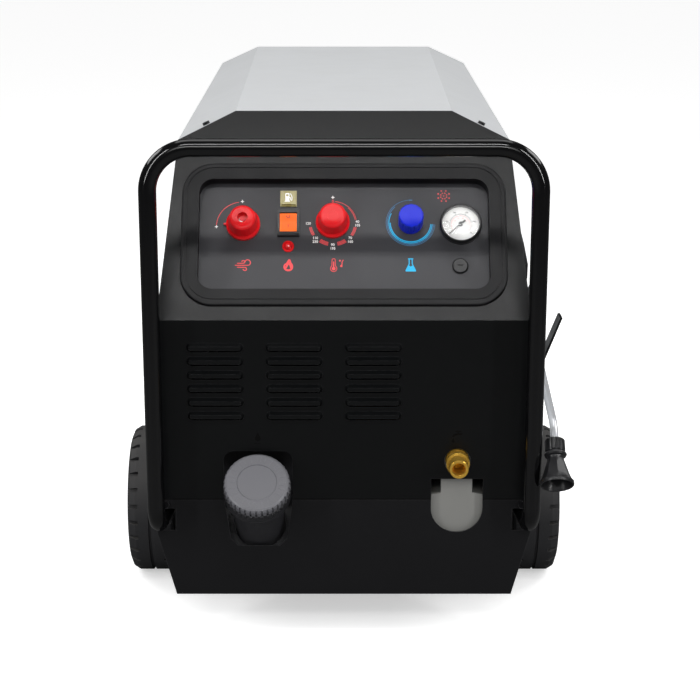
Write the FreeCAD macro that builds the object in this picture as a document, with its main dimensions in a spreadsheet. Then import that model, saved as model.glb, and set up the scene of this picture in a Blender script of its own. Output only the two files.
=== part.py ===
import FreeCAD, Part
import math
import os
import re
import Sketcher

# Hot-water pressure washer in a folded sheet-metal cabinet, on two wheels and
# two swivel casters. X runs to the right, Y to the back and Z up. The floor
# is Z = 0, and the cabinet's front plate stands at Y = front_y.

Vector = FreeCAD.Vector
Rotation = FreeCAD.Rotation
Placement = FreeCAD.Placement
X_AXIS = Vector(1, 0, 0)
Y_AXIS = Vector(0, 1, 0)
Z_AXIS = Vector(0, 0, 1)

doc = FreeCAD.newDocument("pressure_washer")
sheet = doc.addObject("Spreadsheet::Sheet", "Sizes")

# Driving sizes in millimetres and degrees.
SIZES = [
    ("front_y", -500.5, "front plate, from the middle of the footprint"),
    ("rear_y", 1071, "rear panel, from the front plate"),
    ("sheet_wall", 2, "thickness of every cabinet sheet"),
    ("cab_half", 298, "half width of the cabinet at the front"),
    ("seam_z", 250, "seam between skirt and front plate"),
    ("bend_z", 553, "bend between front plate and sloped fascia"),
    ("fascia_lean", 33.6, "slope of the fascia, back from vertical"),
    ("fascia_tall", 302, "height of the roof above the bend"),
    ("ridge_half", 178, "half width of the flat roof"),
    ("bevel_fall", 0.46, "fall of the roof bevel per unit of width"),
    ("side_lean", 0.0895, "lean of the canopy sides per unit of height"),
    ("plan_taper", 0.0202, "taper of the cabinet per unit of length"),
    ("skirt_low_z", 84, "lower edge of the skirt"),
    ("skirt_low_half", 276, "half width of the skirt's lower edge"),
    ("skirt_wide_half", 305, "half width of the skirt below its notches"),
    ("notch_low_z", 197, "lower edge of the handle notch"),
    ("notch_top_z", 235, "upper edge of the handle notch"),
    ("tray_z", 150, "underside of the chassis tray"),
    ("tray_half", 276, "half width of the chassis tray"),
    ("tray_wall", 3, "thickness of the chassis tray"),
    ("recess_wide", 468, "width of the panel recess"),
    ("recess_tall", 189, "height of the panel recess"),
    ("recess_deep", 16, "depth of the panel recess"),
    ("recess_corner", 24, "corner radius of the panel recess"),
    ("recess_u", 146, "middle of the recess, up the fascia from its bend"),
    ("bezel_band", 28, "width of the raised bezel round the recess"),
    ("bezel_rise", 5, "height of the bezel above the fascia"),
    ("bezel_skirt", 2.5, "wall of the bezel's sleeve in the recess"),
    ("louvre_wide", 91, "width of one louvre"),
    ("louvre_tall", 15, "height of one louvre"),
    ("louvre_rise", 7, "height of a louvre above the plate"),
    ("louvre_pitch", 22.8, "distance between louvre rows"),
    ("louvre_drop", 45, "top louvre row below the bend"),
    ("louvre_x", -206, "middle of the first louvre column"),
    ("louvre_step", 126.5, "distance between louvre columns"),
    ("filler_x", -139, "middle of the fuel filler"),
    ("filler_half", 56, "half width of the filler cut-out"),
    ("filler_top_z", 334, "top of the filler cut-out"),
    ("filler_low_z", 170, "bottom of the filler cut-out"),
    ("neck_r", 42, "radius of the filler neck"),
    ("neck_wall", 4, "wall of the filler neck"),
    ("neck_long", 140, "length of the filler neck"),
    ("seal_tall", 3, "thickness of the cap's seal"),
    ("cap_lid", 12, "lid of the cap above its seal"),
    ("cap_ring_r", 31, "radius of the sunk ring on the cap"),
    ("thread_gap", 0.4, "gap between the cap's skirt and the neck"),
    ("tank_half", 100, "half width of the fuel tank"),
    ("tank_top_z", 360, "top of the fuel tank"),
    ("tank_rear_y", 300, "back of the fuel tank behind the front plate"),
    ("float_y", 12, "front of the float tank behind the front plate"),
    ("float_half", 65, "half width of the float tank"),
    ("float_neck_half", 25.5, "half width of the float tank's neck"),
    ("float_shoulder_z", 250, "shoulder of the float tank"),
    ("float_long", 170, "depth of the float tank"),
    ("inlet_long", 55, "length of the inlet from the float tank"),
    ("inlet_deep", 36, "depth of the inlet's bore"),
    ("neck_root", 6, "root of the filler neck inside the tank"),
    ("neck_tilt", 47.5, "filler axis above the horizontal"),
    ("neck_y", 50, "root of the filler axis, from the front plate"),
    ("neck_z", 186, "root of the filler axis, height"),
    ("cap_r", 53, "radius of the filler cap"),
    ("cap_tall", 42, "height of the filler cap"),
    ("cap_teeth", 36, "grip teeth round the filler cap"),
    ("inlet_x", 184, "middle of the water inlet"),
    ("inlet_z", 317, "height of the water inlet"),
    ("inlet_hole_r", 21.5, "hole in the front plate for the inlet"),
    ("inlet_bore_r", 10.5, "bore of the water inlet"),
    ("window_half", 42, "half width of the float tank window"),
    ("window_top_z", 286, "top of the float tank window"),
    ("window_low_z", 194, "bottom of the float tank window"),
    ("handle_r", 14, "radius of the handle tube"),
    ("handle_wall", 2, "wall of the handle tube"),
    ("handle_half", 301.5, "half distance between the handle legs"),
    ("handle_ahead", 45, "handle plane in front of the front plate"),
    ("handle_top_z", 837, "middle of the handle's top bar"),
    ("handle_foot_z", 216, "middle of the handle's feet"),
    ("handle_foot_half", 290, "half distance between the handle's feet"),
    ("handle_foot_y", 95, "end of the handle's feet behind the front plate"),
    ("handle_bend", 68, "bend radius of the handle's top corners"),
    ("foot_bend", 38, "bend radius of the handle's feet"),
    ("wheel_r", 130, "radius of the wheels"),
    ("tyre_wide", 80, "width of the wheels"),
    ("wheel_out", 380, "outer face of the wheels from the middle"),
    ("rim_r", 78, "radius of the wheel rim"),
    ("hub_r", 24, "radius of the wheel hub"),
    ("axle_r", 10, "radius of the wheel axle"),
    ("axle_y", 333, "wheel axle behind the front plate"),
    ("axle_fit", 0.05, "running clearance on axles and bushes"),
    ("tread_notches", 28, "shoulder notches round a tyre"),
    ("caster_x", 205, "caster swivel from the middle"),
    ("caster_y", 940, "caster swivel behind the front plate"),
    ("caster_r", 62.5, "radius of the caster wheels"),
    ("caster_wide", 36, "width of the caster wheels"),
    ("caster_trail", 38, "caster wheel behind its swivel"),
    ("caster_pin_r", 6, "radius of the caster pins"),
    ("bush_r", 5, "radius of the knob bushes"),
    ("bush_tall", 16, "height of the knob bushes above the panel"),
    ("knob_gap", 0.6, "gap between knobs and panel"),
    ("pump_knob_in", 71, "pressure knob from the left side of the recess"),
    ("pump_knob_u", 168, "pressure knob, up the fascia"),
    ("thermo_x", -18, "thermostat knob, across"),
    ("thermo_u", 172, "thermostat and dosing knobs, up the fascia"),
    ("chem_in", 126, "dosing knob from the right side of the recess"),
    ("gauge_in", 45, "gauge from the right side of the recess"),
    ("gauge_u", 168, "gauge, up the fascia"),
    ("needle_turn", 40, "needle at rest, below the dial's left side"),
    ("gauge_r", 34, "radius of the gauge case"),
    ("switch_in", 144, "switch from the left side of the recess"),
    ("switch_u", 170, "switch, up the fascia"),
    ("switch_wide", 35, "width of the switch housing"),
    ("switch_tall", 46, "height of the switch housing"),
    ("rocker_half", 13.5, "half width of the rocker"),
    ("rocker_tall", 32, "height of the rocker"),
    ("lamp_half", 13.5, "half width of the fuel lamp"),
    ("lamp_u", 213, "fuel lamp, up the fascia"),
    ("burner_lamp_r", 7.5, "radius of the burner lamp"),
    ("plug_r", 13, "radius of the blanking plug"),
    ("panel_lap", 8, "lap of the control panel under the bezel"),
    ("knob_r", 27.5, "radius of the red knobs' flange"),
    ("knob_tall", 36, "height of the red knobs"),
    ("dose_r", 20, "radius of the dosing knob"),
    ("dose_tall", 34, "height of the dosing knob"),
    ("dose_flutes", 14, "flutes round the dosing knob"),
    ("flue_z", 545, "height of the flue"),
    ("flue_r", 60, "radius of the flue"),
    ("flue_gap", 6, "air gap round the flue"),
    ("vent_z", 260, "height of the lowest rear vent"),
    ("vent_pitch", 30, "distance between rear vents"),
    ("vent_half", 90, "half width of a rear vent"),
    ("vent_tall", 12, "height of a rear vent"),
    ("outlet_x", 190, "pressure outlet, across"),
    ("outlet_z", 200, "height of the pressure outlet"),
    ("outlet_r", 11, "radius of the pressure outlet's thread"),
    ("burner_lamp_u", 130.5, "burner lamp, up the fascia"),
    ("plug_u", 97, "blanking plug, up the fascia"),
    ("screw_in", 48, "canopy screw outside the roof ridge"),
    ("screw_back", 16, "canopy screw behind the front lip"),
    ("beam_half", 235, "half length of the axle channel"),
    ("beam_wide", 56, "width of the axle channel"),
    ("hub_long", 60, "length of the wheel hub"),
    ("hub_gap", 0.3, "gap between hubs and collars"),
    ("fork_z", 128, "underside of the caster fork's crown"),
    ("flue_out", 10, "flue end behind the rear panel"),
    ("shaft_r", 12, "radius of the motor shaft"),
    ("lance_bend_y", -10, "bend of the lance behind the front plate"),
    ("lance_bend_z", 381, "height of the lance's bend"),
    ("lance_bend_r", 60, "radius of the lance's bend"),
    ("lance_tip_long", 26, "lance in front of its bend"),
    ("lance_long", 640, "lance behind its bend"),
    ("lance_rise", 9, "rise of the lance to the rear"),
    ("nozzle_down", 48, "nozzle below the horizontal"),
    ("guard_r", 27.5, "radius of the nozzle guard"),
    ("guard_long", 78, "length of the nozzle guard"),
    ("gun_half", 16, "half width of the trigger gun"),
    ("trigger_half", 7, "half width of the trigger"),
    ("trigger_pin_r", 3, "radius of the trigger pin"),
    ("hook_wide", 34, "width of a lance hook"),
    ("hook_wall", 4, "thickness of a lance hook"),
    ("front_hook_y", 270, "front lance hook behind the front plate"),
    ("rear_hook_y", 540, "rear lance hook behind the front plate"),
    ("lance_r", 6.5, "radius of the lance pipe"),
    ("lance_x", 337, "lance pipe from the middle"),
    ("boiler_r", 185, "radius of the boiler drum"),
    ("drum_wall", 3, "wall of the boiler drum"),
    ("boiler_y", 830, "boiler behind the front plate"),
    ("boiler_tall", 470, "height of the boiler drum"),
    ("motor_r", 80, "radius of the motor"),
    ("motor_long", 260, "length of the motor housing"),
    ("motor_y", 350, "front of the motor behind the front plate"),
    ("motor_x", 70, "motor from the middle"),
    ("motor_z", 250, "height of the motor shaft"),
]

PUMP_X = "(pump_knob_in - recess_wide / 2)"
SWITCH_X = "(switch_in - recess_wide / 2)"
DOSING_X = "(recess_wide / 2 - chem_in)"
GAUGE_X = "(recess_wide / 2 - gauge_in)"
ALIASES = {name for name, value, note in SIZES}

for row, (name, value, note) in enumerate(SIZES, start=1):
    sheet.set("A%d" % row, note)
    sheet.set("B%d" % row, str(value))
    sheet.setAlias("B%d" % row, name)
doc.recompute()


def link(text):
    """Turn a formula of size names into one that reads the sheet's cells."""
    return re.sub(r"[a-z][a-z_]*[a-z]",
                  lambda m: "Sizes." + m.group(0) if m.group(0) in ALIASES else m.group(0), text)


def at(text):
    """Value of a formula of size names."""
    value = sheet.evalExpression(link(text))
    return float(getattr(value, "Value", value))


def bind(item, field, text):
    """Tie a field of a document object to a formula of size names."""
    item.setExpression(field, link(text))


def new_body(label):
    """New body whose label names its file."""
    body = doc.addObject("PartDesign::Body", label)
    body.Label = label
    return body


def place(item, x="0", y="0", z="0", axis=None, angle="0"):
    """Place a piece by formulas; y counts from the front plate."""
    turn = Rotation(axis, at(angle)) if axis else Rotation()
    item.Placement = Placement(Vector(at(x), at("front_y + " + y), at(z)), turn)
    bind(item, "Placement.Base.x", x)
    bind(item, "Placement.Base.y", "front_y + " + y)
    bind(item, "Placement.Base.z", z)
    if axis:
        bind(item, "Placement.Rotation.Angle", angle)


def place_on_fascia(item, x="0", u="0", n="0"):
    """Place a piece with its Z axis along the fascia's outward normal."""
    y = "(%s) * sin(fascia_lean) - (%s) * cos(fascia_lean)" % (u, n)
    z = "bend_z + (%s) * cos(fascia_lean) + (%s) * sin(fascia_lean)" % (u, n)
    place(item, x, y, z, X_AXIS, "90 - fascia_lean")


def new_sketch(body, name, role="XZ_Plane", lift="0"):
    """Sketch on one of the body's own planes, lifted along its normal."""
    sketch = body.newObject("Sketcher::SketchObject", name)
    plane = [item for item in body.Origin.OriginFeatures if item.Role == role][0]
    sketch.AttachmentSupport = [(plane, "")]
    sketch.MapMode = "FlatFace"
    if lift != "0":
        sketch.AttachmentOffset = Placement(Vector(0, 0, at(lift)), Rotation())
        bind(sketch, "AttachmentOffset.Base.z", lift)
    return sketch


def pin_point(sketch, geometry, corner, x, y):
    """Fix one point of a sketch by two formulas from its origin."""
    for kind, axis, text in (("DistanceX", -2, x), ("DistanceY", -1, y)):
        if text == "0":
            sketch.addConstraint(Sketcher.Constraint("PointOnObject", geometry, corner, axis))
        else:
            index = sketch.addConstraint(Sketcher.Constraint(kind, -1, 1, geometry, corner, at(text)))
            bind(sketch, "Constraints[%d]" % index, text)


def outline(sketch, corners):
    """Closed outline of straight lines through corners given by formulas."""
    points = [Vector(at(x), at(y), 0) for x, y in corners]
    first = sketch.GeometryCount
    count = len(points)
    for index in range(count):
        sketch.addGeometry(Part.LineSegment(points[index], points[(index + 1) % count]), False)
    for index in range(count):
        following = first + (index + 1) % count
        sketch.addConstraint(Sketcher.Constraint("Coincident", first + index, 2, following, 1))
    for index, (x, y) in enumerate(corners):
        pin_point(sketch, first + index, 1, x, y)


def mirrored(corners):
    """Right half of an outline and its mirror image, as one outline."""
    left = [("-(%s)" % x if x != "0" else x, y) for x, y in reversed(corners) if x != "0"]
    return corners + left


def circle(sketch, x, y, radius):
    """Circle placed and sized by formulas."""
    index = sketch.addGeometry(Part.Circle(Vector(at(x), at(y), 0), Z_AXIS, at(radius)), False)
    pin_point(sketch, index, 3, x, y)
    mark = sketch.addConstraint(Sketcher.Constraint("Radius", index, at(radius)))
    bind(sketch, "Constraints[%d]" % mark, radius)


def rounded(sketch, x, y, half_wide, half_tall, radius):
    """Rectangle with round corners, placed and sized by formulas."""
    cx, cy, w, t, r = at(x), at(y), at(half_wide), at(half_tall), at(radius)
    base = sketch.GeometryCount
    corners = [(1, -1, -90), (1, 1, 0), (-1, 1, 90), (-1, -1, 180)]
    ends = []
    for sx, sy, start in corners:
        centre = Vector(cx + sx * (w - r), cy + sy * (t - r), 0)
        arc = Part.ArcOfCircle(Part.Circle(centre, Z_AXIS, r), math.radians(start), math.radians(start + 90))
        ends.append((arc.StartPoint, arc.EndPoint))
        sketch.addGeometry(arc, False)
    for index in range(4):
        sketch.addGeometry(Part.LineSegment(ends[index][1], ends[(index + 1) % 4][0]), False)
    for index in range(4):
        line = base + 4 + index
        sketch.addConstraint(Sketcher.Constraint("Tangent", base + index, 2, line, 1))
        sketch.addConstraint(Sketcher.Constraint("Tangent", line, 2, base + (index + 1) % 4, 1))
    for index in range(1, 4):
        sketch.addConstraint(Sketcher.Constraint("Equal", base, base + index))
    mark = sketch.addConstraint(Sketcher.Constraint("Radius", base, r))
    bind(sketch, "Constraints[%d]" % mark, radius)
    pin_point(sketch, base, 3, "%s + %s - (%s)" % (x, half_wide, radius),
              "%s - (%s) + %s" % (y, half_tall, radius))
    pin_point(sketch, base + 2, 3, "%s - (%s) + %s" % (x, half_wide, radius),
              "%s + %s - (%s)" % (y, half_tall, radius))


def pad(body, name, sketch, length, backward=False, both=False):
    """Pad a sketch by a formula."""
    feature = body.newObject("PartDesign::Pad", name)
    feature.Profile = sketch
    feature.Length = at(length)
    bind(feature, "Length", length)
    feature.Reversed = backward
    feature.Midplane = both
    doc.recompute()
    return feature


def pocket(body, name, sketch, length=None, backward=False, both=False):
    """Cut a sketch through all, or by a formula, and check that it cuts."""
    before = body.Shape.Volume
    feature = body.newObject("PartDesign::Pocket", name)
    feature.Profile = sketch
    feature.Reversed = backward
    feature.Midplane = both
    if length is None:
        feature.Type = "ThroughAll"
    else:
        feature.Length = at(length)
        bind(feature, "Length", length)
    doc.recompute()
    if body.Shape.Volume >= before:
        raise ValueError(body.Label + ": " + name + " cuts nothing")
    return feature


def revolve(body, name, corners, lift="0"):
    """Solid of revolution about the body's Z axis, from (radius, height)."""
    sketch = new_sketch(body, name + "_section", "XZ_Plane", lift)
    outline(sketch, corners)
    feature = body.newObject("PartDesign::Revolution", name)
    feature.Profile = sketch
    feature.ReferenceAxis = (sketch, ["V_Axis"])
    feature.Angle = 360
    doc.recompute()
    return feature


def disc(body, name, radius, low, high, bore=None):
    """Disc or ring about the body's Z axis."""
    inner = bore if bore else "0"
    return revolve(body, name, [(inner, low), (radius, low), (radius, high), (inner, high)])


def box(body, name, x, y, z, pierce=False):
    """Block between pairs of formulas, padded up from its lower face."""
    sketch = new_sketch(body, name + "_plan", "XY_Plane", z[0])
    outline(sketch, [(x[0], y[0]), (x[1], y[0]), (x[1], y[1]), (x[0], y[1])])
    height = "(%s) - (%s)" % (z[1], z[0])
    if pierce:
        return pocket(body, name, sketch, height, backward=True)
    return pad(body, name, sketch, height)


def around(body, name, originals, count):
    """Repeat features about the body's Z axis."""
    pattern = body.newObject("PartDesign::PolarPattern", name)
    pattern.Originals = originals
    z_line = [item for item in body.Origin.OriginFeatures if item.Role == "Z_Axis"][0]
    pattern.Axis = (z_line, [""])
    pattern.Angle = 360
    pattern.Occurrences = int(at(count))
    bind(pattern, "Occurrences", count)
    body.Tip = pattern
    doc.recompute()
    return pattern


def soften(body, name, radius, wanted, chamfer=False):
    """Fillet or chamfer the edges that a test picks."""
    base = body.Tip
    names = ["Edge%d" % (i + 1) for i, edge in enumerate(base.Shape.Edges) if wanted(edge)]
    if not names:
        raise ValueError(body.Label + ": " + name + " finds no edge")
    feature = body.newObject("PartDesign::Chamfer" if chamfer else "PartDesign::Fillet", name)
    feature.Base = (base, names)
    field = "Size" if chamfer else "Radius"
    setattr(feature, field, at(radius))
    bind(feature, field, radius)
    doc.recompute()
    return feature


def rounded_path(points, radii):
    """Wire of straight runs joined by tangent arcs."""
    edges = []
    last = points[0]
    for index in range(1, len(points) - 1):
        corner = points[index]
        back = (points[index - 1] - corner).normalize()
        ahead = (points[index + 1] - corner).normalize()
        half = back.getAngle(ahead) / 2
        radius = radii[index - 1]
        reach = radius / math.tan(half)
        start = corner + back * reach
        finish = corner + ahead * reach
        middle = (back + ahead).normalize()
        waist = corner + middle * (radius / math.sin(half) - radius)
        edges.append(Part.LineSegment(last, start).toShape())
        edges.append(Part.Arc(start, waist, finish).toShape())
        last = finish
    edges.append(Part.LineSegment(last, points[-1]).toShape())
    return Part.Wire(edges)


def tube(path, radius):
    """Solid round bar along a path."""
    first = path.Edges[0]
    start = first.valueAt(first.FirstParameter)
    heading = first.tangentAt(first.FirstParameter)
    ring = Part.Wire(Part.Circle(start, heading, radius).toShape())
    return path.makePipeShell([ring], True, False)


def feature_from(label, shape):
    """Piece whose shape is computed here, placed behind the front plate."""
    item = doc.addObject("Part::Feature", label)
    item.Label = label
    item.Shape = shape
    item.Placement = Placement(Vector(0, at("front_y"), 0), Rotation())
    return item


# Half width of the canopy's eave, where its side meets the roof bevel.
def eave_half(y, wall="0"):
    run = "(cab_half - %s - plan_taper * (%s) - side_lean * (fascia_tall - %s + bevel_fall * ridge_half))"
    return run % (wall, y, wall) + " / (1 - side_lean * bevel_fall)"


def eave_height(y, wall="0"):
    return "bend_z + fascia_tall - %s - bevel_fall * (%s - ridge_half)" % (wall, eave_half(y, wall))


def side_half(y, wall="0"):
    return "cab_half - %s - plan_taper * (%s)" % (wall, y)


def canopy_section(y, wall="0", low="bend_z"):
    half = [
        (side_half(y, wall), low),
        (eave_half(y, wall), eave_height(y, wall)),
        ("ridge_half", "bend_z + fascia_tall - %s" % wall),
    ]
    return mirrored(half)


def side_by_side(section, label, *sizes):
    """Build a left and a right piece with the same builder."""
    return [section(side + label, sign, *sizes) for side, sign in (("left_", "-"), ("right_", ""))]


# Chassis: a folded tray with a flange that carries the side panels.
chassis_tray = new_body("chassis_tray")
box(chassis_tray, "tray_block", ("-tray_half", "tray_half"), ("sheet_wall", "rear_y - sheet_wall"),
    ("tray_z", "seam_z"))
flange_plan = new_sketch(chassis_tray, "flange_plan", "XY_Plane", "seam_z - tray_wall")
outline(flange_plan, mirrored([(side_half("sheet_wall"), "sheet_wall"),
                               (side_half("rear_y - sheet_wall"), "rear_y - sheet_wall")]))
pad(chassis_tray, "flange", flange_plan, "tray_wall")
box(chassis_tray, "tray_hollow", ("-tray_half + tray_wall", "tray_half - tray_wall"),
    ("sheet_wall + tray_wall", "rear_y - sheet_wall - tray_wall"), ("tray_z + tray_wall", "seam_z"),
    pierce=True)
# The filler and the float tank need the front wall open behind the skirt.
filler_gap = new_sketch(chassis_tray, "filler_gap", "XZ_Plane")
outline(filler_gap, [("filler_x - filler_half - sheet_wall", "tray_z + tray_wall"),
                     ("filler_x + filler_half + sheet_wall", "tray_z + tray_wall"),
                     ("filler_x + filler_half + sheet_wall", "seam_z + 1"),
                     ("filler_x - filler_half - sheet_wall", "seam_z + 1")])
pocket(chassis_tray, "filler_opening", filler_gap, "sheet_wall + tray_wall + 1", backward=False)
window_gap = new_sketch(chassis_tray, "window_gap", "XZ_Plane")
outline(window_gap, [("inlet_x - window_half - sheet_wall", "window_low_z - sheet_wall"),
                     ("inlet_x + window_half + sheet_wall", "window_low_z - sheet_wall"),
                     ("inlet_x + window_half + sheet_wall", "seam_z + 1"),
                     ("inlet_x - window_half - sheet_wall", "seam_z + 1")])
pocket(chassis_tray, "window_opening", window_gap, "sheet_wall + tray_wall + 1", backward=False)
outlet_gap = new_sketch(chassis_tray, "outlet_gap", "XZ_Plane", "-rear_y")
circle(outlet_gap, "outlet_x", "outlet_z", "outlet_r + sheet_wall")
pocket(chassis_tray, "outlet_hole", outlet_gap, "3 * (sheet_wall + tray_wall)", both=True)
place(chassis_tray)

# Skirt: the tapered lower front plate, notched for the handle's feet.
front_skirt = new_body("front_skirt")
skirt_face = new_sketch(front_skirt, "skirt_face", "XZ_Plane", "-sheet_wall")
outline(skirt_face, mirrored([
    ("skirt_low_half", "skirt_low_z"),
    ("skirt_wide_half", "notch_low_z - 6"),
    ("skirt_wide_half", "notch_low_z"),
    ("tray_half - 2", "notch_low_z"),
    ("tray_half - 2", "notch_top_z"),
    ("cab_half", "notch_top_z"),
    ("cab_half", "seam_z"),
]))
pad(front_skirt, "skirt_sheet", skirt_face, "sheet_wall")
filler_cut = new_sketch(front_skirt, "filler_cut", "XZ_Plane")
outline(filler_cut, [("filler_x - filler_half + 10", "filler_low_z + 12"),
                     ("filler_x - filler_half + 22", "filler_low_z"),
                     ("filler_x + filler_half - 22", "filler_low_z"),
                     ("filler_x + filler_half - 10", "filler_low_z + 12"),
                     ("filler_x + filler_half", "seam_z + 1"), ("filler_x - filler_half", "seam_z + 1")])
pocket(front_skirt, "filler_slot", filler_cut, "2 * sheet_wall", backward=False)
window_cut = new_sketch(front_skirt, "window_cut", "XZ_Plane")
rounded(window_cut, "inlet_x", "seam_z", "window_half", "seam_z - window_low_z", "window_half - 1")
pocket(front_skirt, "window_slot", window_cut, "2 * sheet_wall", backward=False)
place(front_skirt)

# Front sheet: one plate, bent once, with louvres pressed out of it.
front_fascia = new_body("front_fascia")
bent = new_sketch(front_fascia, "bent_section", "YZ_Plane")
outline(bent, [
    ("0", "seam_z"),
    ("sheet_wall", "seam_z"),
    ("sheet_wall", "bend_z - sheet_wall * tan(fascia_lean / 2)"),
    ("fascia_tall * tan(fascia_lean) + sheet_wall / cos(fascia_lean)", "bend_z + fascia_tall"),
    ("fascia_tall * tan(fascia_lean)", "bend_z + fascia_tall"),
    ("0", "bend_z"),
])
pad(front_fascia, "bent_sheet", bent, "2 * cab_half", both=True)
trim = new_sketch(front_fascia, "trim_face", "XZ_Plane")
outline(trim, [("-2 * cab_half", "seam_z - 1"), ("2 * cab_half", "seam_z - 1"),
               ("2 * cab_half", "bend_z + fascia_tall + 1"), ("-2 * cab_half", "bend_z + fascia_tall + 1")])
top_y = "fascia_tall * tan(fascia_lean)"
eave_y = "(%s - bend_z) * tan(fascia_lean)" % eave_height(top_y)
outline(trim, mirrored([
    ("cab_half", "seam_z"),
    ("cab_half", "bend_z"),
    (eave_half(eave_y), eave_height(eave_y)),
    ("ridge_half", "bend_z + fascia_tall"),
]))
pocket(front_fascia, "trim", trim, both=True)
opening = new_sketch(front_fascia, "recess_face", "XY_Plane")
opening.AttachmentOffset = Placement(Vector(0, 0, at("bend_z")), Rotation(X_AXIS, at("90 - fascia_lean")))
bind(opening, "AttachmentOffset.Base.z", "bend_z")
bind(opening, "AttachmentOffset.Rotation.Angle", "90 - fascia_lean")
rounded(opening, "0", "recess_u", "recess_wide / 2 + bezel_skirt + 1", "recess_tall / 2 + bezel_skirt + 1",
        "recess_corner + bezel_skirt + 1")
pocket(front_fascia, "recess_opening", opening, "2 * sheet_wall + 4", both=True)
holes = new_sketch(front_fascia, "filler_hole", "XZ_Plane")
rounded(holes, "filler_x", "seam_z", "filler_half", "filler_top_z - seam_z", "16")
circle(holes, "inlet_x", "inlet_z", "inlet_hole_r")
pocket(front_fascia, "front_holes", holes, "4 * sheet_wall", both=True)
window_top = new_sketch(front_fascia, "window_top", "XZ_Plane")
outline(window_top, [("inlet_x - window_half", "seam_z - 1"), ("inlet_x + window_half", "seam_z - 1"),
                     ("inlet_x + window_half", "window_top_z"), ("inlet_x - window_half", "window_top_z")])
pocket(front_fascia, "window_head", window_top, "4 * sheet_wall", both=True)
# One row of three louvres, each a drafted hood over a slot, repeated down.
hoods = new_sketch(front_fascia, "hood_plan", "XZ_Plane")
slots = new_sketch(front_fascia, "slot_plan", "XZ_Plane", "-sheet_wall")
for column in range(3):
    middle = "louvre_x + %d * louvre_step" % column
    rounded(hoods, middle, "bend_z - louvre_drop", "louvre_wide / 2", "louvre_tall / 2",
            "louvre_tall / 2 - 0.5")
    outline(slots, [("%s - louvre_wide / 2 + louvre_tall / 2" % middle,
                     "bend_z - louvre_drop - louvre_tall / 2 - 0.5"),
                    ("%s + louvre_wide / 2 - louvre_tall / 2" % middle,
                     "bend_z - louvre_drop - louvre_tall / 2 - 0.5"),
                    ("%s + louvre_wide / 2 - louvre_tall / 2" % middle, "bend_z - louvre_drop - 1"),
                    ("%s - louvre_wide / 2 + louvre_tall / 2" % middle, "bend_z - louvre_drop - 1")])
hood = pad(front_fascia, "louvre_hoods", hoods, "louvre_rise")
hood.TaperAngle = -32
doc.recompute()
slot = pocket(front_fascia, "louvre_slots", slots, "sheet_wall + louvre_rise - 2.5", backward=True)
rows = front_fascia.newObject("PartDesign::LinearPattern", "louvre_rows")
rows.Originals = [hood, slot]
rows.Direction = ([item for item in front_fascia.Origin.OriginFeatures if item.Role == "Z_Axis"][0], [""])
rows.Reversed = True
rows.Mode = "Spacing"
rows.Offset = at("louvre_pitch")
bind(rows, "Offset", "louvre_pitch")
rows.Occurrences = 6
front_fascia.Tip = rows
doc.recompute()
place(front_fascia)

# Canopy: roof, bevels and sides folded from one sheet, open below.
canopy = new_body("canopy")
canopy_front = new_sketch(canopy, "front_section", "XZ_Plane", "-sheet_wall")
outline(canopy_front, canopy_section("sheet_wall"))
canopy_rear = new_sketch(canopy, "rear_section", "XZ_Plane", "-(rear_y - sheet_wall)")
outline(canopy_rear, canopy_section("rear_y - sheet_wall"))
canopy_form = canopy.newObject("PartDesign::AdditiveLoft", "folded_form")
canopy_form.Profile = canopy_front
canopy_form.Sections = [canopy_rear]
canopy_form.Ruled = True
doc.recompute()
hollow_front = new_sketch(canopy, "front_hollow", "XZ_Plane", "1")
outline(hollow_front, canopy_section("-1", "sheet_wall", "bend_z - 1"))
hollow_rear = new_sketch(canopy, "rear_hollow", "XZ_Plane", "-(rear_y + 1)")
outline(hollow_rear, canopy_section("rear_y + 1", "sheet_wall", "bend_z - 1"))
canopy_hollow = canopy.newObject("PartDesign::SubtractiveLoft", "hollow")
canopy_hollow.Profile = hollow_front
canopy_hollow.Sections = [hollow_rear]
canopy_hollow.Ruled = True
doc.recompute()
lip = new_sketch(canopy, "lip_cut", "YZ_Plane")
outline(lip, [
    ("-10", "bend_z - 10"),
    ("-10", "bend_z + fascia_tall + 10"),
    ("(fascia_tall + 10) * tan(fascia_lean) + sheet_wall / cos(fascia_lean)", "bend_z + fascia_tall + 10"),
    ("-10 * tan(fascia_lean) + sheet_wall / cos(fascia_lean)", "bend_z - 10"),
])
pocket(canopy, "front_lip", lip, both=True)
place(canopy)


def side_panel(label, sign):
    """Lower side panel, from the chassis flange up to the canopy's edge."""
    panel = new_body(label)
    plan = new_sketch(panel, "panel_plan", "XY_Plane", "seam_z")
    near, far = side_half("sheet_wall"), side_half("rear_y - sheet_wall")
    outline(plan, [("%s(%s)" % (sign, near), "sheet_wall"), ("%s(%s)" % (sign, far), "rear_y - sheet_wall"),
                   ("%s(%s - sheet_wall)" % (sign, far), "rear_y - sheet_wall"),
                   ("%s(%s - sheet_wall)" % (sign, near), "sheet_wall")])
    pad(panel, "panel_sheet", plan, "bend_z - seam_z")
    place(panel)
    return panel


side_by_side(side_panel, "side_panel")

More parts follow.
